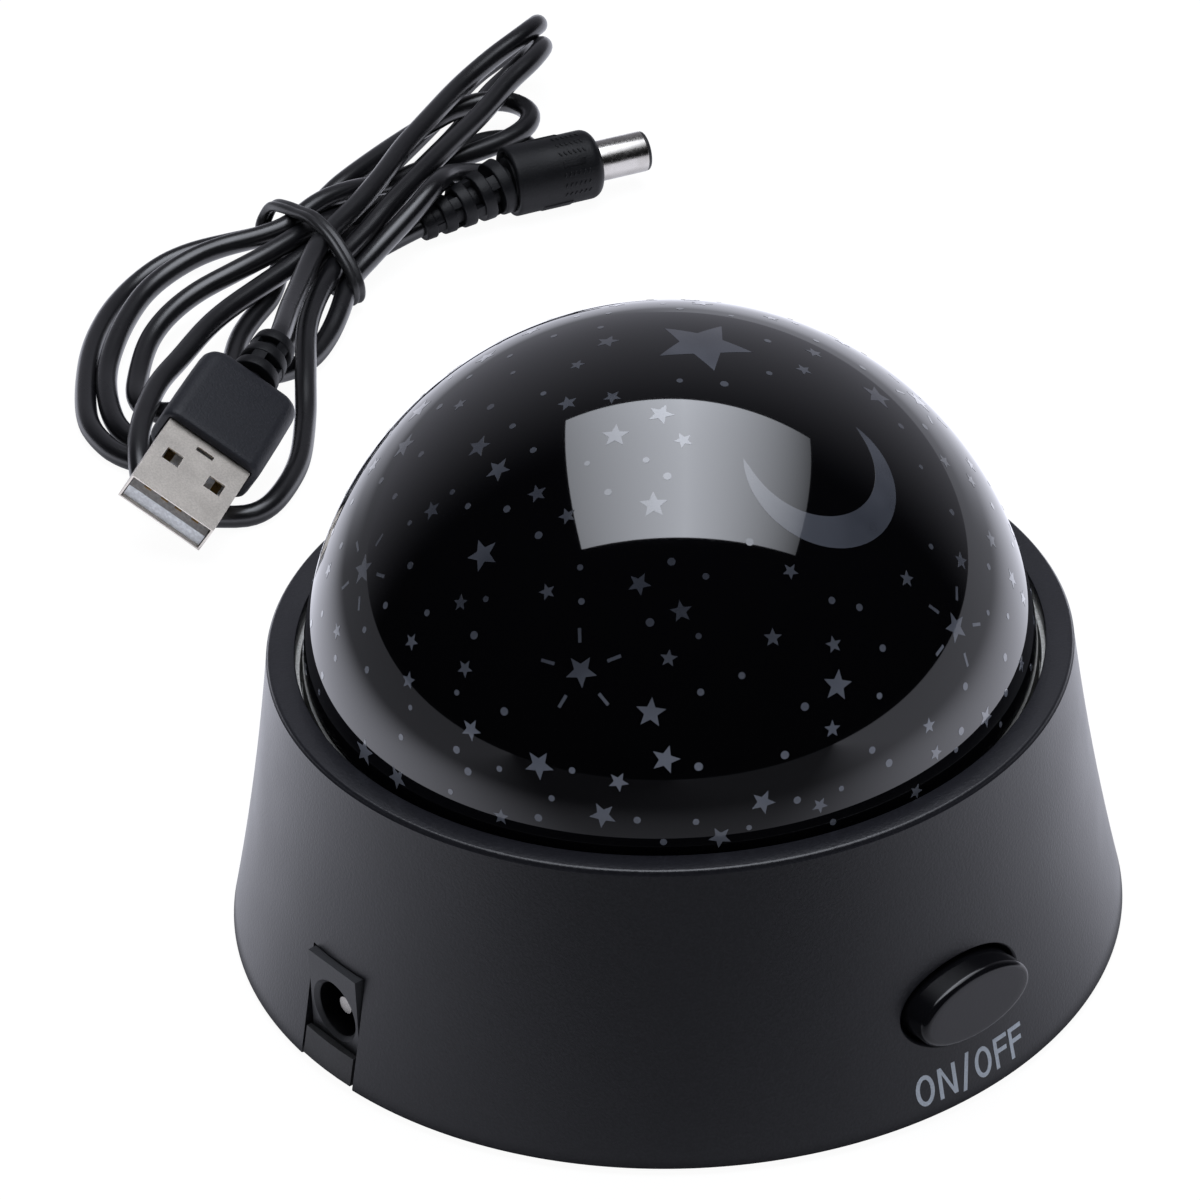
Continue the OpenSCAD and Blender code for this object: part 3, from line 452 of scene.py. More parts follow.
def joined(*shapes):
    """Several (points, faces) shapes as one."""
    points, faces = [], []
    for p, f in shapes:
        faces += [tuple(i + len(points) for i in face) for face in f]
        points += list(p)
    return points, faces


def arc(cx, cy, r, start, end, steps=6):
    """Points of a circle's arc, for a turned profile."""
    return [(cx + r * math.cos(a), cy + r * math.sin(a))
            for a in np.radians(np.linspace(start, end, steps + 1))]


nickel = Finish("nickel_plate", (0.62, 0.6, 0.565), 0.2, Metallic=1.0)
nickel_grain = nickel.noise(0.5 * mm, 4)
nickel.shades(nickel.noise(2.4 * mm, 4), 0.35, 0.65, (0.47, 0.45, 0.42), (0.55, 0.53, 0.5))
nickel.sheen(nickel_grain, 0.22, 0.3)
nickel.bump(nickel_grain, 0.001 * mm)
grip_finish = moulded("grip_rubber", (0.0032, 0.0034, 0.0044), 0.46, 0.22 * mm, 0.03 * mm,
                      Specular_IOR_Level=0.22)
insulator_finish = moulded("plug_insulator", (0.01, 0.01, 0.011), 0.4, 0.3 * mm, 0.006 * mm)

barrel_profile = ([(2.1, 0.5)] + arc(2.62, 0.63, 0.13, -90, 0, 4)
                  + [(2.75, 7.4), (2.45, 7.4), (2.45, 9.4), (2.1, 9.4), (2.1, 0.5)])
solid("plug_barrel_sleeve", turned(barrel_profile, 96, plug_at), nickel, "housing", "nickel", "plug_barrel")
tip_profile = ([(1.3, 0.1)] + arc(1.5, 0.2, 0.2, 180, 270, 3) + arc(2.3, 0.4, 0.4, -90, -10, 5)
               + [(2.7, 0.5), (2.1, 0.5), (2.1, 9.4), (1.3, 9.4), (1.3, 0.1)])
solid("plug_tip", turned(tip_profile, 72, plug_at), insulator_finish, "housing", "insulator", "plug_insulator")

grip_profile = ([(0, 7.4), (3, 7.4)] + arc(3.12, 9, 1.6, -90, 0, 8) + [(4.72, 14), (4.76, 19.2)]
                + arc(4.36, 19.6, 0.4, 0, 90, 4) + [(4.1, 20), (3.95, 19.2), (3.5, 19.2), (3.3, 20), (0, 20)])
solid("plug_grip_moulded", turned(grip_profile, 96, plug_at), grip_finish, "housing", "grip", "plug_grip")


def on_grip(a, y, r):
    """A point of the plug's own frame, a degrees round from its top, y mm along and r mm from its axis."""
    a = math.radians(a)
    return plug_at @ (Vector((r * math.sin(a), y, r * math.cos(a))) * mm)


def raised_pad(around, y, wide, long, low, high, steps=6):
    """A low pad with sloping sides, bent round the grip, from the low radius to the high one."""
    rim = ([(u / steps - 0.5, -0.5) for u in range(steps + 1)]
           + [(0.5 - u / steps, 0.5) for u in range(steps + 1)])
    n = len(rim)
    points = [on_grip(around + wide * grow * u, y + long * grow * v, r)
              for r, grow in ((low, 1.0), (high - 0.08, 0.94), (high, 0.84)) for u, v in rim]
    faces = between(0, n, n) + between(n, 2 * n, n)
    for a in (0, 2 * n):
        faces += [(a + u, a + u + 1, a + n - 2 - u, a + n - 1 - u) for u in range(steps)]
    return points, faces


def evaluated(holder, name):
    """What the holder's modifiers make, as a plain mesh; the holder goes."""
    seen = bpy.context.evaluated_depsgraph_get()
    seen.update()
    mesh = bpy.data.meshes.new_from_object(holder.evaluated_get(seen))
    mesh.name = name
    bpy.data.objects.remove(holder)
    return mesh


class Tree(Finish):
    """A node tree of another kind, with the same methods as a finish."""

    def __init__(self, tree, end=None):
        self.tree = tree
        self.shader = tree.nodes[end] if end else None


def repeat_along(name, unit, places, finish):
    """Geometry Nodes: one small shape set at every point of places, turned and sized by its attributes."""
    group = bpy.data.node_groups.new(name, "GeometryNodeTree")
    group.interface.new_socket("Geometry", in_out="INPUT", socket_type="NodeSocketGeometry")
    group.interface.new_socket("Geometry", in_out="OUTPUT", socket_type="NodeSocketGeometry")
    size = group.interface.new_socket("Size", in_out="INPUT", socket_type="NodeSocketFloat")
    tree = Tree(group)
    spots = tree.node("NodeGroupInput")
    scale = Value(tree, spots.socket.node.outputs["Size"])
    facing = tree.node("GeometryNodeInputNamedAttribute", {"data_type": "FLOAT_VECTOR"}, {"Name": "facing"},
                       out="Attribute")
    sized = tree.node("GeometryNodeInputNamedAttribute", {"data_type": "FLOAT"}, {"Name": "sized"},
                      out="Attribute")
    shape = tree.node("GeometryNodeObjectInfo", None, {"Object": unit}, out="Geometry")
    turn = tree.node("FunctionNodeEulerToRotation", None, {0: facing})
    set_out = tree.node("GeometryNodeInstanceOnPoints", None, {
        "Points": spots, "Instance": shape, "Rotation": turn, "Scale": sized * scale})
    real = tree.node("GeometryNodeRealizeInstances", None, {0: set_out})
    paint = tree.node("GeometryNodeSetMaterial", None, {"Geometry": real, "Material": finish.material})
    tree.put(group.nodes.new("NodeGroupOutput").inputs[0], paint)
    points = raw_mesh(name + "_places", [p for p, _, _ in places])
    points.attributes.new("facing", "FLOAT_VECTOR", "POINT").data.foreach_set(
        "vector", [x for _, turn_by, _ in places for x in turn_by.to_euler()])
    points.attributes.new("sized", "FLOAT", "POINT").data.foreach_set("value", [k for _, _, k in places])
    carrier = placed(name + "_places", points)
    step = carrier.modifiers.new(name, "NODES")
    step.node_group = group
    step[size.identifier] = 1.0
    mesh = evaluated(carrier, name)
    bpy.data.objects.remove(unit)
    return mesh


def lofted(rings, place=Matrix()):
    """Points and faces of a solid through closed rings of equal count, capped at both ends."""
    n = len(rings[0])
    points = [place @ (Vector(p) * mm) for ring in rings for p in ring]
    last = (len(rings) - 1) * n
    faces = [face for a in range(0, last, n) for face in between(a, a + n, n)]
    return points, faces + [tuple(range(n - 1, -1, -1)), tuple(range(last, last + n))]


ridge_rings = [[(0.42 * grow * math.cos(a), 0.14 * grow * math.sin(a), z) for a in turns(10)]
               for z, grow in ((-0.08, 1.0), (0.07, 0.9), (0.13, 0.5))]
ridge_unit = placed("grip_ridge", mesh_of("grip_ridge", *lofted(ridge_rings), sharp=70))
bar_turn = -52
ridge_places = []
for side in (0, 180):
    for row in (-54, -36, -18, 18, 36, 54):
        a = bar_turn + side + row
        out = (on_grip(a, 0, 1) - on_grip(a, 0, 0)).normalized()
        along_grip = (on_grip(a, 1, 1) - on_grip(a, 0, 1)).normalized()
        around_grip = along_grip.cross(out)
        slant = math.copysign(28, row)
        turn = (Matrix((around_grip, out.cross(around_grip), out)).transposed()
                @ Matrix.Rotation(math.radians(slant), 3, "Z"))
        ridge_places += [(on_grip(a, 9.9 + 0.68 * k, 4.7), turn, 1.0) for k in range(6)]
marks = repeat_along("plug_marks", ridge_unit, ridge_places, grip_finish)
bars = joined(*[raised_pad(bar_turn + s, 11.7, wide=11, long=3.4, low=4.55, high=4.82) for s in (0, 180)],
              *[raised_pad(bar_turn + s, 14.2, wide=34, long=4.6, low=4.5, high=4.84) for s in (90, 270)])
solid("plug_grip_bars", bars, grip_finish, "housing", "grip", sharp=30)
add_piece("plug_grip_marks", marks, None, "housing", "grip")


def relief(place, r0, r1, core, length, ribs, bridges):
    """A ribbed strain relief along Y: a core, rings that narrow toward the cord, and bridges between them."""
    pitch, inner, half_bridge = length / ribs, core - 0.3, 17
    shapes = [turned([(0, 0), (core, 0), (core, length - 0.02), (0, length - 0.02)], 40, place)]
    for k in range(ribs):
        r, y = r0 + (r1 - r0) * k / (ribs - 1), k * pitch
        low = y + pitch * 0.42
        rib = ([(inner, low), (r - 0.2, low)] + arc(r - 0.2, low + 0.2, 0.2, -90, 0, 3)
               + arc(r - 0.35, y + pitch - 0.2, 0.2, 0, 90, 3) + [(inner, y + pitch), (inner, low)])
        shapes.append(turned(rib, 56, place))
        for m in range(bridges if k else 0):
            mid = 360 * (m + 0.5 * (k % 2)) / bridges + 20
            points = []
            for across in (y - 0.15, y + pitch * 0.5):
                for far in (inner, r - 0.12):
                    for step in range(4):
                        a = math.radians(mid + half_bridge * (2 * step / 3 - 1))
                        points.append(place @ (Vector((far * math.sin(a), across, far * math.cos(a))) * mm))
            faces = [(0, 8, 12, 4), (3, 7, 15, 11)]
            for step in range(3):
                faces += [(step, step + 1, step + 9, step + 8), (step + 4, step + 12, step + 13, step + 5),
                          (step, step + 4, step + 5, step + 1), (step + 8, step + 9, step + 13, step + 12)]
            shapes.append((points, faces))
    return joined(*shapes)


relief_start = relief_at @ Matrix.Translation((0, -0.4 * mm, 0))
plug_ribs = relief(relief_start, r0=3.9, r1=2.3, core=2, length=14.5, ribs=5, bridges=3)
solid("plug_relief_ribs", plug_ribs, grip_finish, "housing", "grip", "plug_relief")


# --- the USB plug: a folded nickel shell with two square latch holes and a slot, a white tongue in its
# mouth, a fine-grained rounded PVC grip and a short relief of rings and bridges.

usb_at = Matrix.Translation(usb_origin) @ usb_turn.to_4x4()


def block(x0, x1, y0, y1, z0, z1):
    """Points and faces of a box, in mm."""
    points = [Vector((x, y, z)) * mm for x in (x0, x1) for y in (y0, y1) for z in (z0, z1)]
    return points, [(0, 1, 3, 2), (4, 6, 7, 5), (0, 4, 5, 1), (2, 3, 7, 6), (0, 2, 6, 4), (1, 5, 7, 3)]


def carve(mesh, *cutters):
    """The mesh less the cutters' solids."""
    body = placed("carved", mesh)
    tools = []
    for cutter in cutters:
        tools.append(placed("cutter", mesh_of("cutter", *cutter, flat=True)))
        step = body.modifiers.new("carve", "BOOLEAN")
        step.operation, step.solver, step.object = "DIFFERENCE", "EXACT", tools[-1]
    made = evaluated(body, mesh.name)
    for tool in tools:
        bpy.data.objects.remove(tool)
    return made


def rounded(mesh, width, angle):
    """The mesh with its edges over the angle rounded by width, and clean shading."""
    body = placed("rounded", mesh)
    step = body.modifiers.new("round", "BEVEL")
    step.width, step.segments, step.limit_method = width, 2, "ANGLE"
    step.angle_limit = math.radians(angle)
    step.harden_normals = True
    mesh.shade_smooth()
    return evaluated(body, mesh.name)


shell_nickel = Finish("shell_nickel", (0.6, 0.56, 0.52), 0.4, Metallic=1.0)
shell_grain = shell_nickel.noise(0.24 * mm, 4)
shell_nickel.shades(shell_grain, 0.3, 0.7, (0.58, 0.54, 0.485), (0.7, 0.655, 0.595))
shell_nickel.sheen(shell_nickel.noise(3 * mm, 3), 0.42, 0.52)
shell_nickel.bump(shell_grain, 0.012 * mm)
latch_x, latch_half = 3.1, 1.15
shell_cuts = [block(-5.7, 5.7, -1, 15.6, 0.3, 4.2),
              *[block(s * latch_x - latch_half, s * latch_x + latch_half, 5.3, 7.3, -1, 6) for s in (-1, 1)],
              block(-1.2, 1.2, 9.6, 10.2, 3.5, 6)]
shell_mesh = carve(mesh_of("usb_shell_folded", *block(-6, 6, 0, 14.5, 0, 4.5), flat=True), *shell_cuts)
shell_mesh = rounded(shell_mesh, 0.09 * mm, 40)
shell_mesh.transform(usb_at)
usb_shell = add_piece("usb_shell_folded", shell_mesh, shell_nickel, "housing", "nickel", "usb_shell")


def slab_ring(wide, thick, corner, y, steps=8):
    """A rounded oblong round the USB plug's middle, as points of its own frame in mm."""
    ring = []
    for sx, sz, start in ((1, 1, 0), (-1, 1, 90), (-1, -1, 180), (1, -1, 270)):
        for k in range(steps + 1):
            a = math.radians(start + 90 * k / steps)
            ring.append((sx * (wide / 2 - corner) + corner * math.cos(a), y,
                         2.25 + sz * (thick / 2 - corner) + corner * math.sin(a)))
    return ring


usb_sections = [slab_ring(*section) for section in (
    (12.2, 4.7, 0.2, 13), (12.2, 4.7, 0.2, 11.7), (12.4, 4.9, 0.3, 11.5), (13.1, 6.3, 1.5, 11.5),
    (13.6, 6.7, 1.7, 11.58), (13.95, 7, 1.9, 11.8), (14.15, 7.15, 2, 12.3), (14.2, 7.2, 2.05, 13.4),
    (14.15, 7.15, 2.1, 19), (14, 7, 2.2, 23.4), (13.8, 6.9, 2.2, 24.3), (13.3, 6.55, 2.2, 24.95),
    (12.5, 6.05, 2.1, 25.35), (11.6, 5.3, 2, 25.5))]
usb_grip_finish = moulded("usb_grip_rubber", (0.009, 0.0098, 0.0135), 0.52, 0.3 * mm, 0.05 * mm,
                          Specular_IOR_Level=0.35)
usb_grip = solid("usb_grip_moulded", lofted(usb_sections, usb_at), usb_grip_finish, "housing", "grip",
                 "usb_grip")
usb_relief_at = usb_at @ Matrix.Translation((0, 25.5 * mm, 2.25 * mm))
usb_ribs = relief(usb_relief_at, r0=3.3, r1=2.9, core=1.9, length=9, ribs=3, bridges=4)
usb_relief = solid("usb_relief_ribs", usb_ribs, grip_finish, "housing", "grip", "usb_relief")


# --- the housing: one moulded ABS shell, fine-textured satin black, with a flat rim round the dome.
# The button's oval hole and the socket's slot are cut in its side, and four screw bosses stand inside.

shell_low, shell_high, wall = 0.8, 35.4, 2.0
base_r, rim_r, mouth_r, bow = 50, 44.15, 41.05, 0.44
button_z = 12.7


def shell_r(h):
    """The housing's outer radius, h mm above its bottom edge: its side bows in a little."""
    t = h / (shell_high - shell_low)
    return base_r + (rim_r - base_r) * t - bow * 4 * t * (1 - t)


def lathe(profile, steps, place=Matrix()):
    """Points and faces of a closed shape turned about Z: (radius, z) in mm, the last joined to the first."""
    points = [place @ (Vector((r * math.cos(a), r * math.sin(a), z)) * mm)
              for r, z in profile for a in turns(steps)]
    n = len(profile)
    return points, [face for k in range(n) for face in between(k * steps, (k + 1) % n * steps, steps)]


def bosses(profile, steps, far, angles):
    """Screw bosses of one profile, far mm from the middle at every angle."""
    return [lathe(profile, steps, Matrix.Translation(Vector((math.cos(a), math.sin(a), 0)) * far * mm))
            for a in map(math.radians, angles)]


def flat_oval(half_w, half_h, y):
    """An upright oval ring round the button's axis, at y."""
    return [(half_w * math.cos(a), y, button_z + half_h * math.sin(a)) for a in turns(72)]


def oval_ring(half_w, half_h, depth):
    """The same ring laid on the housing's side, depth mm under its outer surface."""
    return [(x, depth - math.sqrt(shell_r(z - shell_low) ** 2 - x * x), z)
            for x, _, z in flat_oval(half_w, half_h, 0)]


shell_profile = [
    (base_r - 0.25, shell_low), (base_r - 0.05, shell_low + 0.1),
    *[(shell_r(h), shell_low + h) for h in (0.3, 2, 4, 6, 8.5, 11, 14, 17, 20, 23, 26, 29, 31.5, 33.4, 34.1)],
    *arc(rim_r - 0.5, shell_high - 0.42, 0.42, 12, 90, 6), (mouth_r + 0.2, shell_high),
    (mouth_r + 0.06, shell_high - 0.06), (mouth_r, shell_high - 0.2), (mouth_r, shell_high - 1.8),
    *[(shell_r(h) - wall, shell_low + h) for h in (32.8, 26, 20, 14, 8, 3, 0)]]
hole_half_w, hole_half_h = 8.1, 4.7
hole_edge = ((0.35, -0.1), (0.32, 0.02), (0.2, 0.09), (0.1, 0.22), (0, 0.45))
hole_cut = lofted([flat_oval(hole_half_w + 0.35, hole_half_h + 0.35, -60),
                   *[oval_ring(hole_half_w + wider, hole_half_h + wider, depth) for wider, depth in hole_edge],
                   flat_oval(hole_half_w, hole_half_h, -41)])
slot_cut = block(-60, -37, -4.5, 4.5, -1, 14.5)
collar = lofted([flat_oval(9.3, 5.9, -46.3), flat_oval(9.3, 5.9, -43.75)])
housing_mesh = carve(mesh_of("housing_shell", *lathe(shell_profile, 288)), slot_cut, hole_cut)
collar_mesh = carve(mesh_of("button_guide", *collar, flat=True), hole_cut)
for mesh in (housing_mesh, collar_mesh):
    mesh.shade_smooth()
    mesh.set_sharp_from_angle(angle=math.radians(28))
shell_bosses = bosses([(1.15, 5.2), (1.15, 13.2), (0.02, 13.2), (0.02, 15.8), (3.5, 15.8), (3.5, 3.2),
                       (1.15, 3.2)], 48, 43.3, (45, 135, 225, 315))
housing_finish = Finish("housing_abs", (0.0115, 0.012, 0.0155), 0.32)
grain = housing_finish.noise(0.32 * mm, 3)
housing_finish.sheen(housing_finish.noise(16 * mm, 3), 0.29, 0.34)
housing_finish.shades(grain, 0.35, 0.75, (0.0098, 0.0101, 0.0132), (0.014, 0.0144, 0.0184))
housing_finish.bump(grain, 0.03 * mm)
add_piece("housing_shell", housing_mesh, housing_finish, "housing", "housing", "base_shell")
add_piece("button_guide", collar_mesh, housing_finish, "housing", "housing")
solid("shell_bosses", joined(*shell_bosses), housing_finish, "housing", "housing")


# --- the push button: a deep oval cap of black ABS with a matte face and a polished rounded edge.
# It slides in the housing's guide; a flange behind the guide keeps it in, and a spring pushes it out.

half_w, half_h, face_y, edge_r = 7.65, 4.25, -49.9, 0.75
button_rings = [flat_oval(8.9, 5.5, -42.4), flat_oval(8.9, 5.5, -43.5), flat_oval(8.8, 5.4, -43.6),
                flat_oval(half_w, half_h, -43.6)]
for a in map(math.radians, range(0, 91, 15)):
    less = edge_r * (1 - math.cos(a))
    button_rings.append(flat_oval(half_w - less, half_h - less, face_y + edge_r * (1 - math.sin(a))))
button_rings += [flat_oval(half_w * k, half_h * k, face_y) for k in (0.74, 0.45, 0.15)]
button_finish = Finish("button_abs", (0.022, 0.022, 0.025), 0.42)
spot_x, _, spot_z = button_finish.parts(button_finish.place())
across, upward = spot_x / (half_w * mm), (spot_z - button_z * mm) / (half_h * mm)
edge = button_finish.step((across * across + upward * upward) ** 0.5, 0.84, 0.92)
button_finish.set("Roughness", 0.42 - edge * 0.28)
button_finish.set("Base Color", button_finish.mix(edge, (0.016, 0.0155, 0.019), (0.004, 0.004, 0.005)))
button_finish.bump(button_finish.noise(0.3 * mm, 3) * (1 - edge), 0.012 * mm)
solid("button_cap_moulded", lofted(button_rings), button_finish, "button", "button", "button_cap")


# --- the lettering under the button: ON/OFF, printed on the housing in pale blue-grey ink.
# Each letter is one thin flat shape that lies on the housing's curve.

def thickened(n, faces, rim):
    """The faces of a thin closed shape: a sheet of n points, its underside, and its sides along the rim."""
    return [*faces, *[tuple(k + n for k in reversed(face)) for face in faces],
            *[(a, a + n, b + n, b) for a, b in rim]]


def letter_sheet(letter, w=2.4, h=3.6, s=0.5):
    """The points, faces and rim of a letter w wide and h high, drawn with strokes s wide."""
    if letter == "O":
        n = 24
        points = [(w / 2 + (w / 2 - t) * math.cos(a), h / 2 + (h / 2 - t) * math.sin(a))
                  for t in (0, s) for a in turns(n)]
        pairs = [(k, (k + 1) % n) for k in range(n)]
        return points, [(a, b, b + n, a + n) for a, b in pairs], pairs + [(b + n, a + n) for a, b in pairs]
    outlines = {
        "N": [(0, 0), (s, 0), (s, h - 0.8), (w - s, 0), (w, 0), (w, h), (w - s, h), (w - s, 0.8), (s, h),
              (0, h)],
        "F": [(0, 0), (s, 0), (s, h / 2 - 0.1), (w - 0.5, h / 2 - 0.1), (w - 0.5, h / 2 + s - 0.1),
              (s, h / 2 + s - 0.1), (s, h - s), (w - 0.3, h - s), (w - 0.3, h), (0, h)],
        "/": [(0.1, -0.3), (0.1 + s, -0.3), (1.5, h + 0.3), (1.5 - s, h + 0.3)]}
    points = outlines[letter]
    n = len(points)
    return points, [tuple(range(n))], [(k, (k + 1) % n) for k in range(n)]


ink_shapes = []
ink_x, ink_z, ink_r = -7.9, 2.35, 49.5
for letter in "ON/OFF":
    flat, faces, rim = letter_sheet(letter)
    points = []
    for lift in (0.035, -0.02):
        for x, y in flat:
            r = shell_r(ink_z + y - shell_low) + lift
            a = math.radians(-90) + (ink_x + x) / ink_r
            points.append(Vector((r * math.cos(a), r * math.sin(a), ink_z + y)) * mm)
    ink_shapes.append((points, thickened(len(flat), faces, rim)))
    ink_x += {"/": 2.1, "F": 2.4}.get(letter, 2.95)
ink_finish = Finish("printed_ink", (0.3, 0.33, 0.4), 0.5)
ink_finish.shades(ink_finish.noise(0.25 * mm, 3), 0.3, 0.5, (0.4, 0.44, 0.52), (0.47, 0.52, 0.6))
solid("on_off_lettering", joined(*ink_shapes), ink_finish, "housing", "housing", flat=True)


# --- the dome: one thin glossy black shell, screwed to the carrier that turns it.
# Its polish works like a clear coat, so lamps and the room show in it as in a mirror.

dome_r, dome_z, dome_low = 40.4, 31.0, 29.5
inner_r = dome_r - 1.6
dome_profile = [(inner_r, dome_low), (dome_r - 0.1, dome_low), (dome_r, dome_low + 0.1),
                *arc(0, dome_z, dome_r, 0, 90, 80)[:-1], (0.001, dome_z + dome_r), (0.001, dome_z + inner_r),
                *arc(0, dome_z, inner_r, 90, 0, 24)[1:]]
dome_bosses = bosses([(0.9, 29.7), (0.9, 33.7), (0.02, 33.7), (0.02, 34.7), (2.6, 34.7), (2.6, 29.7)], 40,
                     36.6, (90, 210, 330))


def glossy(name, colour, under, level):
    """A finish under a clear polished coat: level is how much the layer under the coat mirrors."""
    return Finish(name, colour, under, Coat_Weight=1.0, Coat_IOR=1.8, Coat_Roughness=0.03,
                  Specular_IOR_Level=level)


dome_finish = glossy("dome_gloss", (0.0012, 0.0012, 0.0016), 0.45, 0.0)
dome_finish.sheen(dome_finish.noise(12 * mm, 3), 0.38, 0.5)
solid("dome_shell", joined(lathe(dome_profile, 256), *dome_bosses), dome_finish, "dome", "dome", "dome_cover")


# --- the print on the dome: grey-blue stars, dots, starbursts and a crescent moon under the same gloss.
# The print is painted lighter toward the rim: painted light, standing in for the table's light on the dome's
# lower part. The larger shapes are placed one by one; a spiral with a seeded shake spreads the small stars and
# dots.

print_finish = glossy("dome_print", (0.03, 0.033, 0.043), 0.14, 0.3)
ink_density = print_finish.step(print_finish.noise(14 * mm, 3), 0.35, 0.65)
print_z = print_finish.parts(print_finish.place())[2]
# Painted light: below 41 mm the print takes the lighter pair of shades and above 56 mm the darker pair, for
# the table's light on the dome's lower part. Within each pair, noise gives the ink's own uneven density.
print_finish.set("Base Color", print_finish.mix(
    print_finish.step(print_z, 41 * mm, 56 * mm),
    print_finish.mix(ink_density, (0.13, 0.143, 0.178), (0.185, 0.2, 0.242)),
    print_finish.mix(ink_density, (0.028, 0.031, 0.04), (0.056, 0.061, 0.075))))
dome_centre = Vector((0, 0, dome_z * mm))


def print_unit(name, points, faces, rim, top=0.02, under=-0.05):
    """A thin print shape: a flat sheet of points within 1, its underside, and its sides along the rim.
    Its lift says how far over the dome's surface each point goes, in mm."""
    n = len(points)
    mesh = raw_mesh(name, [(x, y, 0) for x, y in points * 2], thickened(n, faces, rim))
    mesh.attributes.new("lift", "FLOAT", "POINT").data.foreach_set("value", [top] * n + [under] * n)
    return bpy.data.objects.new(name, mesh)


def ringed(rings):
    """Points, faces and rim of a sheet made of rings of equal count, from its middle out."""
    n, last = len(rings[0]), len(rings[0]) * (len(rings) - 1)
    faces = [tuple(range(n))] + [(a + k, a + n + k, a + n + (k + 1) % n, a + (k + 1) % n)
                                 for a in range(0, last, n) for k in range(n)]
    return [p for ring in rings for p in ring], faces, [(last + k, last + (k + 1) % n) for k in range(n)]


def star_rings(waist, parts, rings):
    """A five-pointed star as rings round its middle, each edge cut in parts so that it bends with the dome."""
    corners = []
    for k in range(11):
        a, r = math.pi * k / 5 + math.pi / 2, (1, waist)[k % 2]
        corners.append(Vector((r * math.cos(a), r * math.sin(a))))
    edge = [p.lerp(q, m / parts) for p, q in zip(corners, corners[1:]) for m in range(parts)]
    return [[p * grow for p in edge] for grow in np.linspace(0.01, 1, rings)]


def on_dome(azimuth, height, turn=0.0):
    """A point of the dome and its turn: azimuth from the button's side, degrees up from the dome's middle."""
    a, e = math.radians(azimuth - 90), math.radians(height)
    out = Vector((math.cos(e) * math.cos(a), math.cos(e) * math.sin(a), math.sin(e)))
    east = Vector((-math.sin(a), math.cos(a), 0))
    facing = Matrix((east, out.cross(east), out)).transposed() @ Matrix.Rotation(math.radians(turn), 3, "Z")
    return dome_centre + out * dome_r * mm, facing


def print_piece(name, unit, places):
    """The unit set at every place and pressed onto the sphere."""
    mesh = repeat_along(name, unit, places, print_finish)
    for point, lift in zip(mesh.vertices, mesh.attributes["lift"].data):
        out = (point.co - dome_centre).normalized()
        point.co = dome_centre + out * (dome_r + lift.value) * mm
    mesh.attributes.remove(mesh.attributes["lift"])
    add_piece(name, cleaned(mesh), None, "dome", "dome")


big_places = [(*on_dome(75, 83, 150), 5.4 * mm)]
burst_at = ((-55, 33, 10), (17, 26, 30), (68, 44, 20), (118, 28, 0), (160, 47, 15), (205, 26, 40),
            (250, 32, 5))
burst_places = [(*on_dome(az, up, turn), 4.5 * mm) for az, up, turn in burst_at]
moon_at, moon_turn, moon_size = (10, 57), -150, 9
rng = np.random.default_rng(11)
star_places = [(*on_dome(az, up, turn + 36), 1.75 * mm) for az, up, turn in burst_at]
dot_places = []
kept = [(p, s * 1.1) for p, _, s in big_places + burst_places]
kept.append((on_dome(*moon_at)[0], 10.8 * mm))
spots, golden_turn = 460, 137.508
lowest, spread, crowding = 0.13, 0.86, 1.25
for k in range(spots):
    up = math.degrees(math.asin(lowest + spread * ((k + 0.5) / spots) ** crowding)) + rng.uniform(-1.6, 1.6)
    around_by = (golden_turn * k + rng.uniform(-4, 4)) % 360
    turn, size = rng.uniform(0, 72), 0.9 + 1.05 * rng.uniform() ** 2
    is_star = k % 5 in (0, 2)
    spot, facing = on_dome(around_by, min(up, 88), turn)
    reach = (size + 0.65) * mm if is_star else 1 * mm
    if any((spot - p).length < s + reach for p, s in kept):
        continue
    kept.append((spot, reach))
    if is_star:
        star_places.append((spot, facing, size * mm))
    elif k % 5 != 4 or k % 2:
        dot_places.append((spot, facing, rng.uniform(0.3, 0.46) * mm))

dot_ring = [(math.cos(a), math.sin(a)) for a in turns(14)]
dash = [(0.66, -0.04), (1, -0.04), (1, 0.04), (0.66, 0.04)]
burst = [Matrix.Rotation(math.radians(90 + 72 * k), 2) @ Vector(p) for k in range(5) for p in dash]
moon_steps, moon_start, moon_span, moon_depth = 40, -75, 240, 0.42
moon = []
for k in range(moon_steps + 1):
    a = math.radians(moon_start + moon_span * k / moon_steps)
    deep = moon_depth * math.sin(math.pi * k / moon_steps) ** 0.75
    moon += [((1 - deep * m / 3) * math.cos(a), (1 - deep * m / 3) * math.sin(a)) for m in range(4)]
moon_rows = range(0, 4 * moon_steps, 4)
print_piece("dome_stars", print_unit("star_unit", *ringed(star_rings(0.44, 1, 3))), star_places)
print_piece("dome_big_star", print_unit("big_star_unit", *ringed(star_rings(0.46, 4, 7))), big_places)
print_piece("dome_dots", print_unit("dot_unit", *ringed([dot_ring])), dot_places)
print_piece("dome_bursts", print_unit("burst_unit", burst, [tuple(range(a, a + 4)) for a in range(0, 20, 4)],
                                      [(a + m, a + (m + 1) % 4) for a in range(0, 20, 4) for m in range(4)]),
            burst_places)
print_piece("dome_moon", print_unit("moon_unit", moon, [(p, p + 4, p + 5, p + 1) for a in moon_rows
                                                        for p in range(a, a + 3)],
                                    [edge for a in moon_rows for edge in ((a, a + 4), (a + 7, a + 3))]),
            [(*on_dome(*moon_at, moon_turn), moon_size * mm)])


# --- the pieces whose CAD shapes serve as they are: moulded parts, boards, screws, the motor and wires.
# Most sit inside the housing; each gets its own procedural finish.

